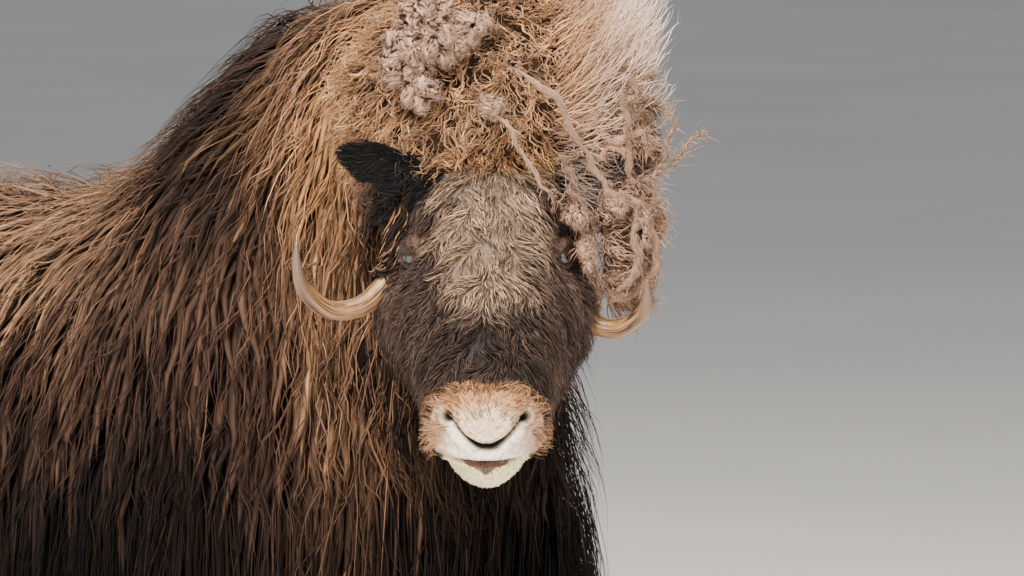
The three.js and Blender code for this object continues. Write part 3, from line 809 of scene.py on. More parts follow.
skinDepth = dict(trunk=62, neck=58, crown=34, curtain=30, leg=9, ear=2.5, tail=10)


def headCrowd(u):
    # more rings at the eyes, by a bell, and at the muzzle, by a step
    y = rowAt(head["rows"], u)[0]
    return 0.5 + 2.6 * bell(y - 2, 34) + 1.6 * smooth(-y, 225, 262)


def aroundCrowd(a):
    # more points round the ring at the height of the eyes
    return 1 + 2.4 * bell(np.abs(np.abs(a - math.pi / 2) - math.radians(62)), 0.32)


def skinParts():
    # every surface of the animal, less the depth of the coat that will grow on it
    turn = np.linspace(0, 2 * math.pi, 97)[:-1]
    half = turn[::2]
    around = spaced(209, -math.pi / 2, 1.5 * math.pi, aroundCrowd)[:-1]

    def less(surface, part, *more):
        return lambda u, a: surface(u, a, skinDepth[part] + 0 * u, *more)

    yield surfaceGrid(less(trunkPoint, "trunk", True), np.linspace(0.03, 0.97, 90), turn)
    yield surfaceGrid(less(neckPoint, "neck"), np.linspace(0.06, 0.97, 50), turn)
    yield surfaceGrid(lambda u, a: headPoint(u, a, bare=True),
                      spaced(236, 0.02, 0.9985, headCrowd), around)
    for part, surface in (("crown", crownSurface), ("curtain", curtainSurface)):
        yield surfaceGrid(less(surface, part), np.linspace(0.03, 0.97, 40), half)
    for foot in feet.values():
        yield surfaceGrid(less(partial(legPoint, foot), "leg"), np.linspace(-0.1, 1, 40), half)
    for shape in sides.values():
        yield surfaceGrid(less(partial(earPoint, shape), "ear"), np.linspace(0, 0.985, 30), half)
    yield surfaceGrid(less(tailPoint, "tail"), np.linspace(0, 1, 20), half)
    yield surfaceGrid(tailRootPoint, np.linspace(0, 1, 12), half)


def joinSkin():
    # the union of all the parts; its colour is the markings, darkened as painted shade where long hair
    # covers it
    pieces = [newObject(f"skin_{i}", *part, finish["skin"]) for i, part in enumerate(skinParts())]
    base = pieces[0]
    for other in pieces[1:]:
        union = base.modifiers.new("join", "BOOLEAN")
        union.operation, union.solver, union.object = "UNION", "MANIFOLD", other
    joined = bpy.data.meshes.new_from_object(base.evaluated_get(bpy.context.evaluated_depsgraph_get()))
    for piece in pieces:
        bpy.data.objects.remove(piece)
    joined.name = "skin"
    joined.shade_smooth()
    made = bpy.data.objects.new("skin", joined)
    bpy.context.scene.collection.objects.link(made)
    place = np.empty(len(joined.vertices) * 3, np.float32)
    joined.vertices.foreach_get("co", place)
    points = place.reshape(-1, 3) * 1000 - body["shift"]
    local = bodyToHead(points)
    half = rightHalf(local)
    nearEye = smooth(-np.linalg.norm(half - np.array(eye["place"]), axis=1), -44, -30)
    bareFace = smooth(-local[:, 1], 215, 232) * smooth(220 - np.abs(local[:, 0]), 0, 40)
    brow = (smooth(-np.abs(local[:, 0]), -85, -60) * smooth(local[:, 2], 10, 30)
            * smooth(-local[:, 1], -110, -90) * smooth(local[:, 1], -90, -50))
    woolly = smooth(points[:, 2], 1040, 1090) * smooth(-points[:, 1], 60, 160)
    bare = np.maximum(np.maximum(nearEye, bareFace), smooth(-points[:, 2], -330, -290))
    # painted shade: the skin darkened under the coat, most under the wool, less on the brow, none on the
    # bare face, round the eyes and low on the legs, so gaps between locks read as shadow
    shade = 0.42 - 0.3 * woolly + 0.2 * brow + 0.58 * bare
    setColour(made, markings(points) * (shade * (1 + 0.15 * ripple(points, 9, 8)))[:, None])
    return made


skin = joinSkin()
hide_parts("trunk", "neck", "head", "tail", "ear_left", "ear_right",
            *[f"leg_{name}" for name in feet])
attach(skin, "root")
print("skin made:", len(skin.data.polygons), "faces")


# ---- eyes, horns and hooves

eyeTone = dict(iris=(0.030, 0.016, 0.009), pupil=(0.004, 0.004, 0.007), white=(0.075, 0.052, 0.042))


def makeEye(name, side):
    # sphere with a bulging cornea; colour by how far round each point is from the eye's axis
    centre, axis, length, tall = lidFrame(side)
    polar, turn = np.meshgrid(np.linspace(0.02, math.pi - 0.02, 60),
                              np.linspace(0, 2 * math.pi, 73)[:-1], indexing="ij")
    radius = eye["radius"] * (1 + 0.05 * bell(polar, 0.5)) - 0.4
    direction = (axis * np.cos(polar)[..., None] + length * (np.sin(polar) * np.cos(turn))[..., None]
                 + tall * (np.sin(polar) * np.sin(turn))[..., None])
    p = centre + direction * radius[..., None]
    points, faces = closedGrid(headToBody(p), headToBody(p[0].mean(0)), headToBody(p[-1].mean(0)))
    made = newObject(name, points, faces, finish["eye"])
    across, up = np.sin(polar) * np.cos(turn), np.sin(polar) * np.sin(turn)
    pupil = smooth(-np.hypot(across / 0.30, up / 0.14), -1.15, -0.9)
    white = smooth(polar, 0.62, 0.74)
    colour = mix(mix(np.array(eyeTone["iris"]), eyeTone["pupil"], pupil), eyeTone["white"], white)
    setColour(made, np.concatenate([colour.reshape(-1, 3), [eyeTone["pupil"], eyeTone["white"]]]))
    return made


def makeHorn(name, shape):
    # the horn's surface, with its strand map across by the cosine of the angle and along by u
    u, a = np.meshgrid(np.linspace(0, 1, 150), np.linspace(0, 2 * math.pi, 49)[:-1], indexing="ij")
    p = hornPoint(shape, u, a)
    made = newObject(name, *closedGrid(p, p[0].mean(0), p[-1].mean(0)), finish["horn"])
    uv = np.stack([0.5 - 0.5 * np.cos(a), u], -1).reshape(-1, 2)
    setUv(made, "strand", np.concatenate([uv, [[0.5, 0], [0.5, 1]]]))
    return made


def clawPoint(foot, outer, u, a):
    # flat sole, straight inner side and a round wall that leans back up to the coronet
    levels = [(0, 0.95, 0), (5, 1, 0), (28, 0.93, 3), (hoof["coronet"] - 0.3, 0.84, 7)]
    z, size, back = rowAt(levels, u)
    c, s = np.cos(a), np.sin(a)
    outward = np.where(c > 0, 0.78 * c, -0.22 * np.abs(c) ** 0.35)
    along = -np.sign(s) * np.abs(s) ** 0.85 * np.where(s > 0, 0.56, 0.44)
    lean = np.where(s > 0, 1 - 0.22 * s * s, 1)
    growth = 1 + 0.006 * np.sin(26 * z / 10 + 2 * s) * smooth(z, 4, 12)
    across = hoof["cleft"] / 2 + hoof["clawWidth"] * (0.22 + outward * lean * size * growth)
    x = outer * across * foot["scale"]
    y = (along * hoof["clawLength"] * size * growth + back) * foot["scale"]
    t = math.radians(foot["toeOut"])
    return np.stack([x * math.cos(t) - y * math.sin(t) + foot["x"],
                     x * math.sin(t) + y * math.cos(t) + foot["y"], z], -1)


def dewclawPoint(foot, outer, u, a):
    # an upright ellipsoid with fine growth rings, behind and beside the foot
    size = np.array(hoof["dewSize"]) * foot["scale"]
    n = onSphere(u, a)
    centre = (foot["x"] + outer * hoof["dewSpread"] * foot["scale"], foot["y"] + 47 * foot["scale"],
              hoof["dewHeight"])
    return n * size * (1 + 0.02 * np.sin(30 * u))[..., None] + centre


def placeSmall(made, node):
    # takes the solid's place in the frame
    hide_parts(node)
    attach(made, "root")


for name, shape in sides.items():
    placeSmall(makeEye(f"eyeball_{name}", shape["side"]), f"eye_{name}")
    placeSmall(makeHorn(f"horn_sheath_{name}", shape), f"horn_{name}")
fineTurn = np.linspace(0, 2 * math.pi, 61)[:-1]
for name, foot in feet.items():
    for toe, outer in (("inner", -np.sign(foot["x"])), ("outer", np.sign(foot["x"]))):
        claw = newObject(f"claw_{name}_{toe}", *surfaceGrid(
            lambda u, a: clawPoint(foot, outer, u, a), np.linspace(0, 1, 36), fineTurn), finish["hoof"])
        placeSmall(claw, f"hoof_{name}_{toe}")
        bud = newObject(f"dew_{name}_{toe}", *surfaceGrid(
            lambda u, a: dewclawPoint(foot, outer, u, a), np.linspace(0.04, 0.96, 20), fineTurn[::2]),
            finish["hoof"])
        placeSmall(bud, f"dewclaw_{name}_{toe}")
print("eyes, horns and hooves made")


# ---- coat: tapered locks combed over the surfaces

def scatter(surface, count, uRange=(0.02, 0.98), aRange=(0, 2 * math.pi), density=None, pool=5):
    # roots spread evenly by area: many candidates, kept in proportion to the area round each
    count = max(int(count * lockShare), 8)
    tries = count * pool
    u = rng.uniform(*uRange, tries)
    a = rng.uniform(*aRange, tries)
    p = surface(u, a, 0.0 * u)
    pu = surface(u + 1e-3, a, 0.0 * u) - p
    pa = surface(u, a + 1e-3, 0.0 * u) - p
    weight = np.linalg.norm(np.cross(pu, pa), axis=1)
    if density is not None:
        weight = weight * density(p)
    kept = rng.choice(tries, count, replace=False, p=weight / weight.sum())
    return u[kept], a[kept]


def comb(surface, u, a, flow, length, deep, shallow, steps, spread=0.25, seed=1, lean=2.2):
    # walks each lock over the surface along the flow, rising from the skin to its own height
    path, normals = [], []
    for k in range(steps + 1):
        t = k / steps
        rise = 1 - (1 - t) ** lean
        inset = deep + (shallow - deep) * rise
        p = surface(u, a, inset)
        pu = (surface(u + 1e-3, a, inset) - p) * 1e3
        pa = (surface(u, a + 1e-3, inset) - p) * 1e3
        normal = unit(np.cross(pu, pa))
        lifted = surface(u, a, inset - 4) - p
        normal = normal * np.sign(np.einsum("ij,ij->i", normal, lifted) + 1e-9)[:, None]
        path.append(p)
        normals.append(normal)
        w = flow(p, normal)
        w = w + spread * np.stack([ripple(p, 45, seed + axis) for axis in range(3)], -1)
        w = unit(w - normal * np.einsum("ij,ij->i", w, normal)[:, None])
        step = w * (length / steps)[:, None]
        # least squares step in u and a that best gives the step along the surface
        uu, ua, aa = [np.einsum("ij,ij->i", x, y) for x, y in ((pu, pu), (pu, pa), (pa, pa))]
        su, sa = np.einsum("ij,ij->i", pu, step), np.einsum("ij,ij->i", pa, step)
        det = np.maximum(uu * aa - ua * ua, 1e-3 * uu * aa + 1e-6)
        du, da = (aa * su - ua * sa) / det, (uu * sa - ua * su) / det
        u = np.clip(u + np.clip(du, -0.08, 0.08), 0.004, 0.996)
        a = a + np.clip(da, -0.5, 0.5)
    return np.stack(path, 1), np.stack(normals, 1)


def curl(path, normals, amount, turns):
    # winds each lock round its own line as a loose helix that opens from the root
    n, steps = path.shape[:2]
    t = np.linspace(0, 1, steps)[None, :]
    along = unit(np.gradient(path, axis=1))
    side = unit(np.cross(normals, along))
    phase = rng.uniform(0, 2 * math.pi, (n, 1))
    angle = phase + 2 * math.pi * t * np.reshape(turns, (-1, 1))
    wide = np.reshape(amount, (-1, 1)) * np.sqrt(t)
    return (path + side * (wide * np.cos(angle))[..., None]
            + normals * (wide * 0.6 * np.sin(angle))[..., None])


patchSize = 0.003                # of each tuft on the OFBake map


def growLocks(name, path, normals, width, thick, colour, roots, material, slot, taper=0.55,
              blunt=0.75, rootTone=0.3, tipTone=1.35, corners=3, knots=0.0):
    # spindles: a ring of corners at each inner step of the path, a point at the root and the tip;
    # width follows sin(pi t^taper)^blunt, and knots swell it at random along the lock
    n, steps = path.shape[:2]
    along = unit(np.gradient(path, axis=1))
    side = unit(np.cross(normals, along))
    up = np.cross(along, side)
    inner = np.arange(1, steps - 1)
    t = inner / (steps - 1)
    swell = np.sin(math.pi * t ** taper) ** blunt * (1 + knots * rng.uniform(-1, 1, (n, len(inner))))
    corner = math.pi / 2 + 2 * math.pi * np.arange(corners) / corners
    across = np.cos(corner) * (width[:, None] * swell)[..., None] / 2
    raised = np.sin(corner) * (thick[:, None] * swell)[..., None] / 2
    rings = (path[:, inner, None] + side[:, inner, None] * across[..., None]
             + up[:, inner, None] * raised[..., None]).reshape(n, -1, 3)
    points = np.concatenate([rings, path[:, :1], path[:, -1:]], 1)
    per, m = points.shape[1], len(inner)
    index = np.arange(corners * m).reshape(m, corners)
    turned = np.roll(index, -1, 1)
    quads = np.stack([turned[:-1], turned[1:], index[1:], index[:-1]], -1).reshape(-1, 4)
    ends = np.full(corners, corners * m)
    tris = np.concatenate([np.stack([ends, turned[0], index[0]], -1),
                           np.stack([ends + 1, index[-1], turned[-1]], -1)])
    base = (np.arange(n) * per)[:, None, None]
    made = newObject(name, points.reshape(-1, 3),
                     [(quads[None] + base).reshape(-1, 4), (tris[None] + base).reshape(-1, 3)],
                     finish[material])
    tAll = np.concatenate([np.repeat(t, corners), [0, 1]])
    sAll = np.concatenate([np.tile(np.cos(corner), m), [0, 0]])
    # darker at the root, lighter towards the tip: partly the hair's own tone, partly painted shade deep
    # in the coat
    gradient = (rootTone + (tipTone - rootTone) * np.sqrt(tAll))[None, :, None]
    setColour(made, (colour[:, None, :] * gradient).reshape(-1, 3).clip(0, 0.95))
    patch = np.stack([sAll / 2, tAll - 0.5], -1) * patchSize
    setUv(made, "OFBake", (roots[:, None, :] + patch[None]).reshape(-1, 2))
    long = np.linalg.norm(np.diff(path, axis=1), axis=2).sum(1) * 0.02
    offset = rng.uniform(0, 50, (n, 2))
    broad = np.clip(width / 9, 0.25, 2)[:, None]
    strand = np.stack([offset[:, :1] + sAll * broad, offset[:, 1:] + tAll * long[:, None]], -1)
    setUv(made, "strand", strand.reshape(-1, 2))
    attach(made, "root")
    triangles = n * ((m - 1) * 2 * corners + 2 * corners)
    grown.append(triangles)
    print(name, n, "locks,", triangles, "triangles")
    return made


grown = []


def clearOfEyes(path):
    # leaves out the locks that would pass in front of the opening of the lids
    local = bodyToHead(path)
    free = np.ones(len(path), bool)
    for side in (-1, 1):
        centre, axis = lidFrame(side)[:2]
        q = local - centre
        ahead = q @ axis
        beside = np.linalg.norm(q - ahead[..., None] * axis, axis=-1)
        cone = 13 + 0.28 * np.maximum(ahead - 18, 0)
        free &= ~((ahead > 6) & (ahead < 75) & (beside < cone)).any(1)
    return free


def keepFree(path, *others):
    # the locks that stay clear of the eyes, with what belongs to them
    free = clearOfEyes(path)
    return [x[free] for x in (path, *others)]


def clearOfMuzzle(path):
    # leaves out the locks that would cross the nostrils or the line of the mouth
    local = bodyToHead(path)
    half = rightHalf(local)
    slit, mouth, wing = muzzleGaps(local)
    front = (slit < 3.0) | ((mouth < 2.0) & (half[..., 0] < 36)) | (wing < 7)
    return ~(front & (half[..., 1] < -225)).any(1)


def rootPlace(u, a):
    # the loft's own unwrap: along by u, around by the angle
    return np.stack([0.02 + 0.96 * ((a / (2 * math.pi)) % 1), 0.02 + 0.96 * np.clip(u, 0, 1)], -1)


def varied(p, amount=0.35, seed=20, bleached=0.0):
    # root colours with clumps of lighter and darker locks, a spread from lock to lock, and some
    # bleached strands among them
    clump = ripple(p, 70, seed) * 0.5
    each = rng.normal(0, 1, len(p))
    colour = markings(p) * np.exp(amount * (0.6 * each + clump))[:, None]
    pale = (rng.uniform(0, 1, len(p)) < bleached) * rng.uniform(0.3, 1, len(p))
    # bleached strands warmer and lighter higher up the body
    higherLift = np.array([0.018, 0.010, 0.006]) * smooth(p[:, 2:3], 420, 900)
    return mix(colour, colour * (2.0, 1.75, 1.5) + higherLift, pale)


down = np.array([0.0, 0.0, -1.0])
aside = fromLevel((1, 0, 0)) - fromLevel((0, 0, 0))      # towards the animal's left of the face


def bodyFlow(p, normal):
    # down with the pull of gravity, swept back over the hump and back
    back = 0.75 * smooth(p[:, 2], 850, 1200)
    return down + back[:, None] * np.array([0, 1, 0])


# lengths, widths and lifts in millimetres; flat is thickness by width, bleached a share of locks
coat = dict(
    back=[dict(count=2800, length=(120, 230), width=(11, 20), flat=0.16, blunt=0.6, steps=5,
               curl=(1, 6), lift=(46, 26), spread=0.3, bleached=0.05),
          dict(count=6800, length=(70, 210), width=(1.3, 3.2), flat=0.5, blunt=0.75, steps=5,
               curl=(1, 8), lift=(30, 1), spread=0.5, bleached=0.16)],
    skirt=[dict(count=2700, length=(190, 330), width=(12, 22), flat=0.16, blunt=0.6, steps=6,
                curl=(1, 7), layer=(26, 62), bleached=0.03),
           dict(count=6000, length=(120, 300), width=(1.3, 3.3), flat=0.5, blunt=0.75, steps=5,
                curl=(1, 9), layer=(0, 34), bleached=0.14)],
    neck=[dict(count=2300, length=(110, 210), width=(9, 17), flat=0.16, blunt=0.6, steps=5,
               curl=(1, 6), lift=(42, 24), spread=0.3, bleached=0.08),
          dict(count=6600, length=(70, 200), width=(1.2, 3.0), flat=0.5, blunt=0.75, steps=5,
               curl=(1, 9), lift=(28, 0), spread=0.55, bleached=0.14)],
    face=dict(count=14000, length=(12, 32), width=(0.8, 2.1)),
    muzzle=dict(count=3400, length=(2.4, 5.5), width=(0.6, 1.1), steps=3, lift=(0.3, 2.0), lean=1.6,
                along=(0.68, 0.995)),
    whiskers=dict(count=1300, length=(12, 27), width=(0.5, 1.1), steps=5, lift=(5, 13), lean=1.1,
                  along=(0.66, 0.78)),
    lids=dict(count=2400, length=(4, 10), width=(0.8, 1.4)),
    hornBase=dict(count=1200, length=(26, 62), width=(1.8, 4.5)),
    crown=[dict(count=3000, length=(26, 60), width=(2.4, 5.5), flat=0.35, lift=(27, 8), curl=(2, 7),
                steps=5),
           dict(count=7400, length=(14, 40), width=(0.7, 1.7), flat=0.7, lift=(20, -9),
                curl=(1.5, 6), steps=6)],
    curtain=[dict(count=1400, length=(18, 44), width=(1.2, 2.8), flat=0.6, lift=(20, -6),
                  curl=(1.5, 6), steps=5)],
    clump=dict(
        matted=dict(count=300, length=(18, 34), width=(6, 12), flat=0.22, deep=7, high=1.5, steps=4),
        fuzz=dict(count=420, length=(4, 10), width=(0.4, 0.9), flat=0.7, deep=2, high=-5, steps=3)),
    fringe=dict(count=1900, length=(30, 85), width=(0.9, 2.6), highest=368),
    legs=dict(count=2200, length=(16, 34), width=(3, 5.5), lowest=30),
    ears=dict(count=1700, length=(10, 22), width=(0.9, 2.0)),
    tail=dict(count=900, length=(90, 190), width=(3, 8), lift=(6, 26), overRoot=0.5),
)
rooted = dict(back=60, neck=56, wool=31, leg=9, ear=2.5)      # depth of the roots under the coat


def sizes(piece, n):
    # length and width of each lock, drawn evenly from the piece's ranges
    return rng.uniform(*piece["length"], n), rng.uniform(*piece["width"], n)


def nearSide(p):
    # locks stand closer on the right side and the front, as seen in the photo
    return 1 + 1.0 * smooth(-p[:, 0], -40, 60) * smooth(-p[:, 1], -520, -200)


def inParts(path, limit=190000, corners=3):
    # indices of locks sorted across the animal, in pieces under the limit of triangles
    each = 2 * corners * (path.shape[1] - 2)
    pieces = int(math.ceil(len(path) * each / limit))
    return np.array_split(np.argsort(path[:, 0, 0]), max(pieces, 1))


def growParts(name, path, normals, width, colour, place, material, slot, flat=0.5, **more):
    # grows the locks in numbered pieces, as inParts divides them
    for k, part in enumerate(inParts(path)):
        growLocks(f"{name}_{k}", path[part], normals[part], width[part], width[part] * flat,
                  colour[part], place[part], material, slot, **more)


def combedLayers(part, surface, flow, uRange, aRange, seed, density=None):
    # each layer is scattered, combed, curled and grown over the surface
    for level, piece in enumerate(coat[part]):
        u, a = scatter(surface, piece["count"], uRange, aRange, density)
        length, width = sizes(piece, len(u))
        low, high = piece["lift"]
        shallow = low + (high - low) * rng.uniform(0, 1, len(u)) ** 0.8
        path, normals = comb(surface, u, a, flow, length, np.full(len(u), rooted[part]), shallow,
                             piece["steps"], piece["spread"], seed + 7 * level)
        path = curl(path, normals, rng.uniform(*piece["curl"], len(u)), rng.uniform(0.3, 1.3, len(u)))
        colour, place = varied(path[:, 0], 0.42, seed, piece["bleached"]), rootPlace(u, a)
        growParts(f"coat_{part}_{level}", *keepFree(path, normals, width, colour, place), "guard", "coat",
                  piece["flat"], blunt=piece["blunt"])


hem = dict(lowest=291, endHeight=350)        # of the skirt, anywhere and at chest and rump


def coatSkirt():
    # long locks that leave the skirt's top outwards by 1 - (1 - t)^2 and drop evenly to the hem
    for level, piece in enumerate(coat["skirt"]):
        count = int(piece["count"] * lockShare)
        u = rng.uniform(0, 1, count)
        a = rng.uniform(-0.25, 0.62, count)
        length, width = sizes(piece, count)
        layer = rng.uniform(*piece["layer"], count)
        wave = 26 * ripple(np.stack([u * 900, 0 * u, 0 * u], -1), 60, 77) + rng.uniform(-12, 26, count)
        t = np.linspace(0, 1, piece["steps"] + 1)[None, :]
        top = skirtPoint(u, a, layer + 26)
        bottom = rowAt(trunk["rows"], 0.5 - 0.5 * np.cos(2 * math.pi * u))[4]
        reach = top[:, 2] - np.maximum(np.minimum(bottom, hem["endHeight"]) + wave + 14, hem["lowest"])
        drop = np.maximum(np.where(a > 0.25, reach, np.minimum(length, reach)), 40)
        out = skirtPoint(u, a, np.maximum(layer - 2, 0)) - top
        path = top[:, None] + out[:, None] * (1 - (1 - t) ** 2)[..., None]
        path[..., 2] -= drop[:, None] * t
        sway = 16 * np.stack([ripple(top, 130, 41), ripple(top, 130, 42), 0 * u], -1)
        path = path + sway[:, None] * (t ** 1.4)[..., None]
        outward = unit(skirtPoint(u, a, 0 * u) - skirtPoint(u, a, 20 + 0 * u) + 1e-6)
        normals = np.repeat(outward[:, None], path.shape[1], 1)
        path = curl(path, normals, rng.uniform(*piece["curl"], count), rng.uniform(0.4, 1.6, count))
        limit = np.abs(skirtPoint(u, a * 0, 0 * u)[:, None, 0]) + 6
        path[..., 0] = np.clip(path[..., 0], -limit, limit)
        colour = varied(top, 0.45, 21, piece["bleached"])
        place = np.stack([0.02 + 0.96 * u, 0.3 + 0.4 * a], -1)
        growParts(f"coat_skirt_{level}", path, normals, width, colour, place, "guard", "coat",
                  piece["flat"], blunt=piece["blunt"], tipTone=1.1)


def neckFlow(p, normal):
    # down, swept back at the top, and across towards her left under the throat
    back = 0.25 * smooth(p[:, 2], 1150, 1300)[:, None] * np.array([0, 1, 0])
    throat = smooth(-p[:, 2], -830, -700) * smooth(toLevel(p)[:, 1], -330, -200)
    return down + back + 0.55 * throat[:, None] * aside


def faceFlow(p, normal):
    # down the face with gravity, fanning outwards from the middle line, then round the muzzle
    local = bodyToHead(p)
    fan = np.stack([local[:, 0] / 110, 0 * local[:, 0], 0 * local[:, 0]], -1) @ headTurn.T
    radial = unit(local - np.array([0, -268, -14])) @ headTurn.T
    share = smooth(-local[:, 1] + 0.15 * np.abs(local[:, 0]), 216, 232)[:, None]
    return (down + 0.7 * fan) * (1 - share) + radial * share


def coatFace():
    # short hair, longer under the jaw and shorter round the eyes, by smoothsteps of place
    piece = coat["face"]

    def crowding(p):
        # fewer locks below, none on the lids, the crown and the muzzle
        local = bodyToHead(p)
        half = rightHalf(local)
        gap = np.linalg.norm(half - np.array(eye["place"]), axis=1)
        front = 0.3 + 0.7 * smooth(local[:, 2], -120, -40)
        return (front * smooth(gap, 24, 32) * smooth(-local[:, 1], -125, -100)
                * smooth(local[:, 1], -236, -222))

    u, a = scatter(headPoint, piece["count"], (0.1, 0.8), (0, 2 * math.pi), crowding)
    length, width = sizes(piece, len(u))
    y = rowAt(head["rows"], u)[0]
    under = smooth(-np.sin(a), -0.3, 0.6) * smooth(y, -235, -150)
    half = rightHalf(bodyToHead(headPoint(u, a, 0 * u)))
    gap = np.linalg.norm(half - np.array(eye["place"]), axis=1)
    length = length * (1 + 1.6 * under) * (0.3 + 0.7 * smooth(gap, 28, 60))
    width = width * (1 + 0.5 * under)
    deep = headHair(y, a)
    shallow = deep * rng.uniform(0.0, 0.6, len(u)) - 1.5
    path, normals = comb(headPoint, u, a, faceFlow, length, deep, shallow, 4, 0.55, 61)
    slack = rng.uniform(0.5, 2.2, len(u)) * (1 + under)
    path = curl(path, normals, slack, rng.uniform(0.3, 1.4, len(u)))
    path, normals, width, u, a = keepFree(path, normals, width, u, a)
    growParts("coat_face", path, normals, width, varied(path[:, 0], 0.55, 23, 0.14), rootPlace(u, a),
              "short", "face_hair")


def lidPoint(u, a, inset):
    # the bare face, raised from the eye's centre by minus the inset
    local = bodyToHead(headPoint(u, a, bare=True))
    centre = np.array(eye["place"]) * np.stack([np.sign(local[..., 0]), 1 + 0 * a, 1 + 0 * a], -1)
    return headToBody(local - unit(local - centre) * np.asarray(inset)[..., None])


def muzzlePoint(u, a, inset):
    # the bare muzzle, raised from its heart by minus the inset
    local = bodyToHead(headPoint(u, a, bare=True))
    outward = unit(local - np.array(muzzle["heart"], float))
    return headToBody(local - outward * np.asarray(inset)[..., None])


def coatFineFace():
    # the finest hair: away from the eye on the lids, then outwards over muzzle and whisker pads
    def roundEye(p):
        # one within the orbit, outside the opening
        centre, axis = lidFrame(1)[:2]
        q = rightHalf(bodyToHead(p)) - centre
        away = np.arccos(np.clip(unit(q) @ axis, -1, 1))
        far = np.linalg.norm(q, axis=1)
        return smooth(away, 0.72, 0.95) * smooth(-far, -54, -42) + 1e-9

    piece = coat["lids"]
    u, a = scatter(lidPoint, piece["count"], (0.2, 0.42), (0, math.pi), roundEye, 14)
    length, width = sizes(piece, len(u))

    def fromEye(p, normal):
        # away from the eye's centre, with some fall
        local = bodyToHead(p)
        centre = np.array(eye["place"]) * np.stack([np.sign(local[:, 0]), 1 + 0 * u, 1 + 0 * u], -1)
        return unit(local - centre) @ headTurn.T + 0.6 * down

    rise = -rng.uniform(0.5, 3, len(u))
    path, normals = comb(lidPoint, u, a, fromEye, length, 0 * u + 1, rise, 3, 0.4, 63)
    path, normals, width, u, a = keepFree(path, normals, width, u, a)
    growLocks("coat_lids", path, normals, width, width * 0.5, varied(path[:, 0], 0.35, 29),
              rootPlace(u, a), "short", "face_hair")

    for name in ("muzzle", "whiskers"):
        piece = coat[name]
        u, a = scatter(muzzlePoint, piece["count"], piece["along"], (0, 2 * math.pi), None, 6)
        length, width = sizes(piece, len(u))
        beside = np.abs(bodyToHead(muzzlePoint(u, a, 0 * u))[:, 0])
        if name == "whiskers":
            length = length * (0.45 + 0.65 * smooth(beside, 10, 62))
        rise = -rng.uniform(*piece["lift"], len(u))
        path, normals = comb(muzzlePoint, u, a, faceFlow, length, 0 * u + 1, rise, piece["steps"],
                             0.4, 66, piece["lean"])
        droop = (length * 0.4 * smooth(beside, 20, 60))[:, None] * np.linspace(0, 1, path.shape[1]) ** 2
        path[..., 2] -= droop * (name == "whiskers")
        local = bodyToHead(path[:, 0])
        colour = varied(path[:, 0], 0.42, 27)
        pepper = (rng.uniform(0, 1, len(u)) < 0.22) * smooth(local[:, 2], -18, -8)
        colour = mix(colour, colour * 0.3, pepper)
        free = clearOfMuzzle(path)
        if name == "whiskers":
            pad = 56 - 0.9 * (local[:, 1] + 214)
            free &= (local[:, 1] < -204) & (local[:, 2] > -52) & (beside < pad)
            root = np.where(rng.uniform(0, 1, len(u)) < 0.3, 0.25, 0.95)[:, None] * np.array(tone["tan"])
            colour = mix(colour, root, 0.8 + 0 * u)
        path, normals, width, u, a, colour = [x[free] for x in (path, normals, width, u, a, colour)]
        growLocks(f"coat_{name}", path, normals, width, width * 0.6, colour, rootPlace(u, a), "short",
                  "face_hair", rootTone=0.65, tipTone=1.1)


def crownFlow(p, normal):
    # outwards and down from the top of the wool, sweeping to her left on that side
    away = p - np.array(crown["centre"])
    left = smooth(toLevel(p)[:, 0], 40, 130)[:, None]
    return down * 0.9 + unit(away * (1, 1, 0.2)) * 0.45 + left * (aside * 1.3 - down * 0.9)


def coatHornBase():
    # dark and golden hair that covers each horn from the crown to where it leaves the cheek
    for name, shape in sides.items():
        def sleeve(u, a, inset):
            # rings round the horn's covered stretch, a little wider than the horn
            centre, radius = hornCentre(shape, 0.14 + u * 0.29)
            ahead = hornCentre(shape, 0.15 + u * 0.29)[0]
            along = unit(ahead - centre)
            across = unit(np.cross(np.array([0.2 * shape["side"], 1, 0.1]), along))
            size = (radius + 3 - inset)[..., None]
            return headToBody(centre + size * (across * np.cos(a)[..., None]
                                               + np.cross(along, across) * np.sin(a)[..., None]))

        piece = coat["hornBase"]
        u, a = scatter(sleeve, piece["count"] / 2, (0.1, 0.9))
        length, width = sizes(piece, len(u))

        def fall(p, normal):
            # down and outwards
            return down + 0.35 * shape["side"] * aside + 0 * p

        rise = -rng.uniform(0, 9, len(u))
        length = length * (1.15 - 0.6 * u)
        path, normals = comb(sleeve, u, a, fall, length, 0 * u + 1, rise, 5, 0.5, 96, 1.2)
        path = curl(path, normals, rng.uniform(1, 5, len(u)), rng.uniform(0.3, 1.2, len(u)))
        golden = rng.uniform(0, 1, len(u)) < 0.22
        colour = np.where(golden[:, None], np.array(tone["gold"]), np.array(tone["temple"]))
        colour = colour * np.exp(0.45 * rng.normal(size=(len(u), 1)))
        path, normals, width, u, a, colour = keepFree(path, normals, width, u, a, colour)
        growLocks(f"coat_horn_base_{name}", path, normals, width, width * 0.5, colour, rootPlace(u, a),
                  "guard", "face_hair")


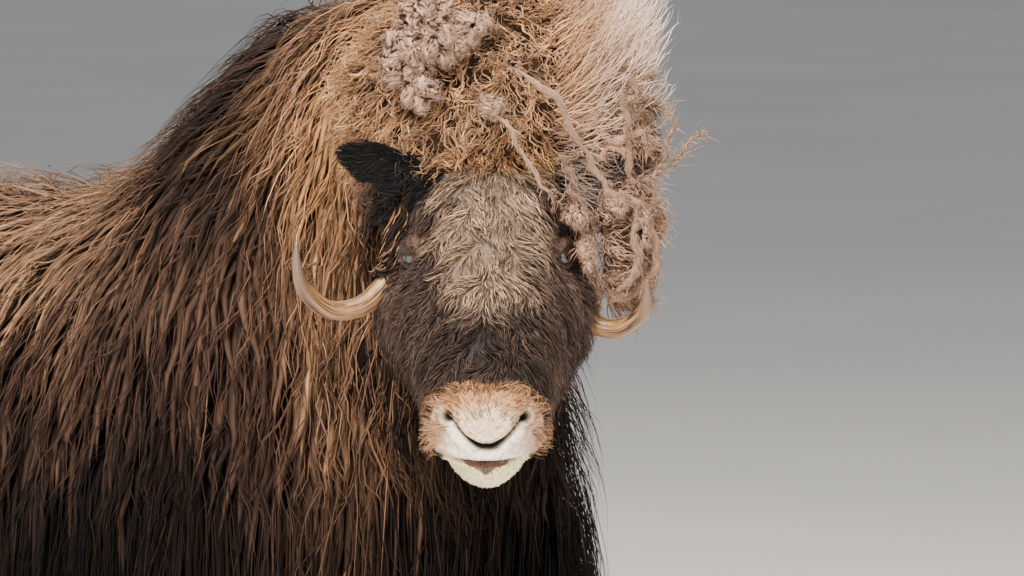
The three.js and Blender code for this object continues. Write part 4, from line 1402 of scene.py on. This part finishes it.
def coatCrown():
    # curly wool on the crown and on the mass beside it, combed loosely outwards and down
    def facing(p):
        # more of it in front
        return 0.3 + smooth(toLevel(p)[:, 1], -260, -120)

    for name, surface in (("crown", crownSurface), ("curtain", curtainSurface)):
        for level, piece in enumerate(coat[name]):
            u, a = scatter(surface, piece["count"], (0.01, 0.9), (0, 2 * math.pi), facing)
            length, width = sizes(piece, len(u))
            low, high = piece["lift"]
            shallow = low + (high - low) * rng.uniform(0, 1, len(u))
            path, normals = comb(surface, u, a, crownFlow, length, np.full(len(u), rooted["wool"]),
                                 shallow, piece["steps"], 1.1, 71 + 4 * level, 1.5)
            path = curl(path, normals, rng.uniform(*piece["curl"], len(u)), rng.uniform(0.8, 3.0, len(u)))
            path, normals, width, u, a = keepFree(path, normals, width, u, a)
            growParts(f"coat_{name}_{level}", path, normals, width, varied(path[:, 0], 0.6, 24, 0.15),
                      rootPlace(u, a), "wool", "coat", piece["flat"], rootTone=0.15, tipTone=1.4)


felt = dict(
    strands=[                    # shed wool: level place (across, forward, up) and radius along each
        [(28, 40, 222, 7), (62, 42, 200, 7), (90, 34, 166, 8), (106, 24, 132, 7), (122, 12, 102, 7),
         (138, 4, 76, 8), (160, 0, 66, 8), (176, -8, 40, 7)],
        [(80, 36, 120, 4), (92, 30, 96, 5), (98, 26, 70, 6), (96, 24, 56, 7)],
        [(108, 20, 34, 5), (112, 18, 10, 7), (121, 16, -12, 11), (128, 14, -26, 7)],
        [(150, 6, 190, 6), (162, 2, 160, 7), (163, -2, 128, 7), (162, -4, 104, 9), (170, -6, 80, 8)],
        [(174, -6, 78, 10), (184, -8, 52, 11), (190, -12, 20, 10), (196, -16, -10, 10),
         (184, -12, -34, 10), (158, -6, -50, 9), (140, -2, -52, 7)],
        [(176, -2, 60, 8), (170, 0, 28, 9), (176, 2, -4, 9), (164, 2, -30, 9), (150, 2, -44, 7)],
        [(168, -8, 84, 6), (190, -14, 92, 5), (206, -20, 112, 4), (214, -24, 140, 3),
         (208, -24, 170, 2.5)],
        [(196, -16, 96, 4), (212, -22, 104, 3), (226, -26, 120, 2.5), (244, -30, 134, 1.6)],
        [(-14, 30, 160, 4), (4, 36, 168, 6), (24, 38, 152, 5), (40, 40, 122, 5), (58, 36, 92, 5),
         (78, 30, 66, 4)]],
    clumps=[                     # felted balls: level place, half sizes
        ((-71, -36, 270), (36, 24, 32)), ((-93, -12, 222), (31, 24, 36)), ((-50, -8, 243), (28, 22, 26)),
        ((-20, -14, 262), (27, 20, 20)), ((-78, 2, 188), (24, 18, 22)), ((8, 26, 174), (20, 14, 13)),
        ((102, 24, 50), (17, 15, 16)), ((116, 20, 6), (11, 10, 25)), ((150, 0, 60), (17, 14, 15)),
        ((178, -8, 30), (15, 14, 30))],
    knotted=24,                  # further short strands wound over the mass above the left horn
    frizz=140,                   # fine hairs round each strand
)


def crownPlace(points):
    # place on the unwrap of the crown's wool: polar angle down, turn about the upright
    n = unit((points - np.array(crown["centre"])) @ yawTurn / np.array(crown["size"]))
    return rootPlace(np.arccos(np.clip(n[:, 2], -1, 1)) / math.pi, np.arctan2(n[:, 1], n[:, 0]))


def clumpSurface(centre, size):
    # ellipsoid in the level frame, swollen by smooth noise
    def surface(u, a, inset):
        n = onSphere(u, a)
        swollen = np.array(size) * (1 + 0.22 * ripple(n * size, 24, 97))[..., None]
        return fromLevel(np.array(centre) + n * (swollen - np.asarray(inset)[..., None]))
    return surface


def coatClumps():
    # matted locks and fuzz over each felted ball, as many as its face is large
    mean = sum(size[0] * size[2] for _, size in felt["clumps"]) / len(felt["clumps"])
    grownPaths = {kind: [] for kind in coat["clump"]}
    for centre, size in felt["clumps"]:
        surface = clumpSurface(centre, size)
        share = 0.35 + 0.65 * size[0] * size[2] / mean
        for kind, piece in coat["clump"].items():
            u, a = scatter(surface, piece["count"] * share, (0.03, 0.97))
            length, width = sizes(piece, len(u))
            high = piece["high"] * rng.uniform(0.2, 1, len(u))
            path, normals = comb(surface, u, a, lambda p, n: 0.5 * down + 0 * p, length,
                                 np.full(len(u), piece["deep"]), high, piece["steps"], 1.3, 98, 1.2)
            path = curl(path, normals, rng.uniform(1, 4, len(u)), rng.uniform(0.5, 2, len(u)))
            shade = 0.22 * rng.normal(size=(len(u), 1)) + 0.15 * ripple(path[:, 0], 30, 99)[:, None]
            grownPaths[kind].append((path, normals, width, np.array(tone["felt"]) * np.exp(shade)))
    for kind, parts in grownPaths.items():
        path, normals, width, colour = [np.concatenate(x) for x in zip(*parts)]
        growLocks(f"coat_clump_{kind}", path, normals, width, width * coat["clump"][kind]["flat"],
                  colour, crownPlace(path[:, 0]), "wool", "coat", rootTone=0.7, tipTone=1.1)


def resample(rows, count):
    # as many rows at even steps along the smooth line through the given ones
    return np.stack(rowAt(np.array(rows, float), np.linspace(0, 1, count)), -1)


def coatFelt():
    # thick closed strands along the rows of felt, others wound over the mass, and frizz on all
    steps = 15
    rows = np.stack([resample(strand, steps) for strand in felt["strands"]])
    path, radius = fromLevel(rows[..., :3]), rows[..., 3].mean(1)
    shape = rows[..., 3] / radius[:, None]
    extra = felt["knotted"]
    u, a = scatter(curtainSurface, extra / lockShare, (0.1, 0.8), (0, 2 * math.pi),
                   lambda p: smooth(toLevel(p)[:, 1], -90, -40) + 1e-6)
    wound, woundNormals = comb(curtainSurface, u, a, crownFlow, rng.uniform(70, 150, len(u)), 12 + 0 * u,
                               rng.uniform(-6, 14, len(u)), steps - 1, 2.4, 91)
    wound = curl(wound, woundNormals, rng.uniform(3, 12, len(u)), rng.uniform(0.6, 2, len(u)))
    path = np.concatenate([path, wound])
    path = path + 4.5 * np.stack([ripple(path, 26, 92 + axis) for axis in range(3)], -1)
    radius = np.concatenate([radius, rng.uniform(4, 9, len(u))])
    shape = np.concatenate([shape, np.ones((len(u), steps))])
    facing = np.array(fromLevel((0, 1, 0)) - fromLevel((0, 0, 0)))
    normals = np.broadcast_to(facing, path.shape)
    place = crownPlace(path[:, 0])
    colour = mix(np.broadcast_to(np.array(tone["felt"]), (len(path), 3)), tone["crown"],
                 rng.uniform(0, 0.5, len(path))) * rng.uniform(0.7, 1.1, (len(path), 1))
    growLocks("coat_felt", path, normals, radius * 1.05, radius, colour, place, "wool", "coat", 0.9, 0.3,
              0.8, 0.9, corners=8, knots=0.45)
    # frizz: short curly hairs that leave each strand at random places and directions
    count = int(felt["frizz"] * len(path) * max(lockShare, 0.5))
    owner, at = rng.integers(0, len(path), count), rng.integers(0, steps, count)
    root = path[owner, at]
    out = unit(rng.normal(size=(count, 3)) + 0.4 * facing + 0.35 * aside)
    size = radius[owner] * shape[owner, at]
    length = rng.uniform(4, 12, count) * np.where(rng.uniform(0, 1, count) < 0.12, 2.6, 1)
    t = np.linspace(0, 1, 4)
    onward = path[owner, np.minimum(at + 1, steps - 1)] - root
    root = root + onward * rng.uniform(0, 1, (count, 1))
    hair = root[:, None] + out[:, None] * (size[:, None] * 0.45 + length[:, None] * t)[..., None]
    trail = unit(onward) * rng.uniform(0.2, 1.3, (count, 1)) * length[:, None]
    hair = hair + trail[:, None] * (t ** 1.3)[:, None]
    hair[..., 2] -= (length[:, None] * 0.25 * t ** 2)
    bent = np.broadcast_to(unit(np.cross(out, facing))[:, None], hair.shape)
    hair = curl(hair, bent, rng.uniform(0.6, 3, count), rng.uniform(0.6, 2.2, count))
    width = rng.uniform(0.8, 1.7, count)
    colour = colour[owner] * rng.uniform(0.7, 1.35, (count, 1))
    growLocks("coat_frizz", hair, bent, width, width * 0.7, colour, crownPlace(hair[:, 0]), "wool",
              "coat", rootTone=0.8)


def coatFringe():
    # pale soft hair that stands out of the left side of the wool, curving up at its tips
    piece = coat["fringe"]
    count = int(piece["count"] * max(lockShare, 0.5))
    across, up = rng.uniform(70, 165, count), rng.uniform(70, 330, count)
    ball = 1 - (across / 190) ** 2 - ((up - 146) / 192) ** 2
    keep = ball > 0.02
    across, up, ball = across[keep], up[keep], ball[keep]
    root = np.stack([across, -143 + 160 * np.sqrt(ball) - 14, up], -1)
    n = len(root)
    t = np.linspace(0, 1, 7)[None]
    length = rng.uniform(*piece["length"], n)[:, None]
    rise = (0.25 + 0.5 * smooth(up, 120, 190) - 0.6 * smooth(up, 210, 320)
            - 0.55 * smooth(-up, -150, -70))[:, None] + rng.normal(0, 0.22, (n, 1))
    out = 0.10 + 0.25 * rng.uniform(0, 1, (n, 1))
    step = np.stack([length * t * (1 - 0.25 * t), length * out * t * (1 - t) * 2 - 4 * t,
                     length * (rise * t + 0.35 * t * t * (rng.uniform(0, 1, (n, 1)) - 0.3))], -1)
    path = fromLevel(root[:, None] + step)
    facing = np.broadcast_to(fromLevel((0, 1, 0)) - fromLevel((0, 0, 0)), path.shape)
    path = curl(path, facing, rng.uniform(1.5, 7, n), rng.uniform(0.5, 2.2, n))
    kept = toLevel(path)[..., 2].max(1) < piece["highest"]
    path, facing, across, up, n = path[kept], facing[kept], across[kept], up[kept], kept.sum()
    width = rng.uniform(*piece["width"], n)
    colour = varied(path[:, 0], 0.3, 95, 0.2)
    colour = mix(colour, tone["fringe"], smooth(across + 0.25 * (260 - up), 90, 170) * 0.8)
    growLocks("coat_fringe", path, facing, width, width * 0.6, colour,
              crownPlace(path[:, 0]), "wool", "coat", rootTone=0.5)


def coatSmall():
    # short hair down the legs, which ends above the hooves, and out along the ears
    for name, foot in feet.items():
        surface = partial(legPoint, foot)
        piece = coat["legs"]
        u, a = scatter(surface, piece["count"] / 4, (0.25, 0.99))
        length, width = sizes(piece, len(u))
        path, normals = comb(surface, u, a, lambda p, n: down + 0 * p, length,
                             np.full(len(u), rooted["leg"]), rng.uniform(0, 6, len(u)), 4, 0.25, 81)
        path[..., 2] = np.maximum(path[..., 2], piece["lowest"])
        growLocks(f"coat_leg_{name}", path, normals, width, width * 0.4, varied(path[:, 0], 0.2, 25),
                  rootPlace(u, a), "short", "leg_hair", tipTone=1.1)
    for name, shape in sides.items():
        surface = partial(earPoint, shape)
        tipward = headTurn @ earFrame(shape)[1]
        piece = coat["ears"]
        u, a = scatter(surface, piece["count"] / 2, (0.05, 0.97))
        length, width = sizes(piece, len(u))
        rise = rng.uniform(-4, 0.5, len(u))
        path, normals = comb(surface, u, a, lambda p, n: tipward + 0.35 * down + 0 * p, length,
                             np.full(len(u), rooted["ear"]), rise, 4, 0.5, 85, 1.3)
        colour = np.array(tone["ear"]) * np.exp(0.4 * rng.normal(size=(len(u), 1)))
        growLocks(f"coat_ear_{name}", path, normals, width, width * 0.4, colour, rootPlace(u, a),
                  "short", "ear_hair", tipTone=1.25)


def coatTail():
    # hair that parts over the tail's root and hangs round the tail, past its end, as one brush
    piece = coat["tail"]
    n = int(piece["count"] * max(lockShare, 0.5))
    length, width = sizes(piece, n)
    u, a = rng.uniform(-0.1, 0.85, n), rng.uniform(0, 2 * math.pi, n)
    root, out = tailPoint(u, a, 12 + 0 * u), tailPoint(u, a, 0 * u) - tailPoint(u, a, 12 + 0 * u)
    over = rng.uniform(0, 1, n) < piece["overRoot"]
    onRoot = tailRootPoint(rng.uniform(0.3, 1, n), math.pi / 2 + rng.uniform(-1.2, 1.2, n))
    middle = np.array(tailShape["root"]) * (0, 0, 1) + onRoot * (0, 1, 0)
    root = np.where(over[:, None], onRoot, root)
    out = unit(np.where(over[:, None], onRoot - middle, out))
    t = np.linspace(0, 1, 7)[None, :, None]
    lift = rng.uniform(*piece["lift"], n)[:, None, None]
    path = (root[:, None] + out[:, None] * lift * (1 - (1 - t) ** 2)
            + down * length[:, None, None] * t ** 1.3)
    path = path + 14 * t * np.stack([ripple(root, 60, 101 + axis) for axis in range(3)], -1)[:, None]
    normals = np.repeat(unit(out + 0.01)[:, None], path.shape[1], 1)
    path = curl(path, normals, rng.uniform(1, 6, n), rng.uniform(0.4, 1.4, n))
    growLocks("coat_tail", path, normals, width, width * 0.3, varied(root, 0.35, 26, 0.1),
              rootPlace(0.97 - 0.1 * np.clip(u, 0, 1), math.pi / 2 + root[:, 0] / 150), "guard", "coat")


combedLayers("back", trunkPoint, bodyFlow, (0.03, 0.975), (-0.25, math.pi + 0.25), 31, nearSide)
coatSkirt()
combedLayers("neck", neckPoint, neckFlow, (0.18, 0.985), (0, 2 * math.pi), 51)
coatFace()
coatFineFace()
coatHornBase()
coatCrown()
coatFelt()
coatClumps()
coatFringe()
coatSmall()
coatTail()
print("coat made,", sum(grown), "triangles")


# ---- floor and light

studio = dict(
    floor=dict(size=120, colour=((0.74, 0.75, 0.77), (0.80, 0.81, 0.82)), rough=0.6),
    sky=dict(colour=(0.96, 0.95, 0.95), strength=0.36),
    lamps=dict(                  # turn and height in degrees, metres away and across, watts
        key=(-78, 50, 4.2, 1.5, 540), fill=(-28, 6, 5.0, 3.0, 170), top=(110, 72, 4.5, 2.4, 280)),
    lampColour=(1, 0.95, 0.89),
)


def makeStudio():
    # three lamps on a sphere round the head, each turned to it, over a pale floor and sky
    floor, sky = studio["floor"], studio["sky"]
    corners = np.array([[-1, -1, 0], [1, -1, 0], [1, 1, 0], [-1, 1, 0]]) * floor["size"] / 2
    made = newObject("floor", corners, [np.array([[0, 1, 2, 3]])],
                     plainMaterial("floor", *floor["colour"], floor["rough"], 0.8, 0.0), False)
    world = bpy.data.worlds.new("studio")
    world.use_nodes = True
    background = world.node_tree.nodes["Background"]
    background.inputs["Color"].default_value = (*sky["colour"], 1)
    background.inputs["Strength"].default_value = sky["strength"]
    bpy.context.scene.world = world
    centre = Vector(toWorld(body["headPlace"]))
    for name, (azimuth, elevation, distance, size, power) in studio["lamps"].items():
        a, e = math.radians(azimuth), math.radians(elevation)
        away = Vector((math.sin(a) * math.cos(e), -math.cos(a) * math.cos(e), math.sin(e)))
        lamp = bpy.data.objects.new(name, bpy.data.lights.new(name, "AREA"))
        lamp.data.size = size
        lamp.data.energy = power
        lamp.data.color = studio["lampColour"]
        lamp.visible_camera = False
        lamp.location = centre + away * distance
        lamp.rotation_euler = (-away).to_track_quat("-Z", "Y").to_euler()
        bpy.context.scene.collection.objects.link(lamp)


makeStudio()
print("floor and lights set")
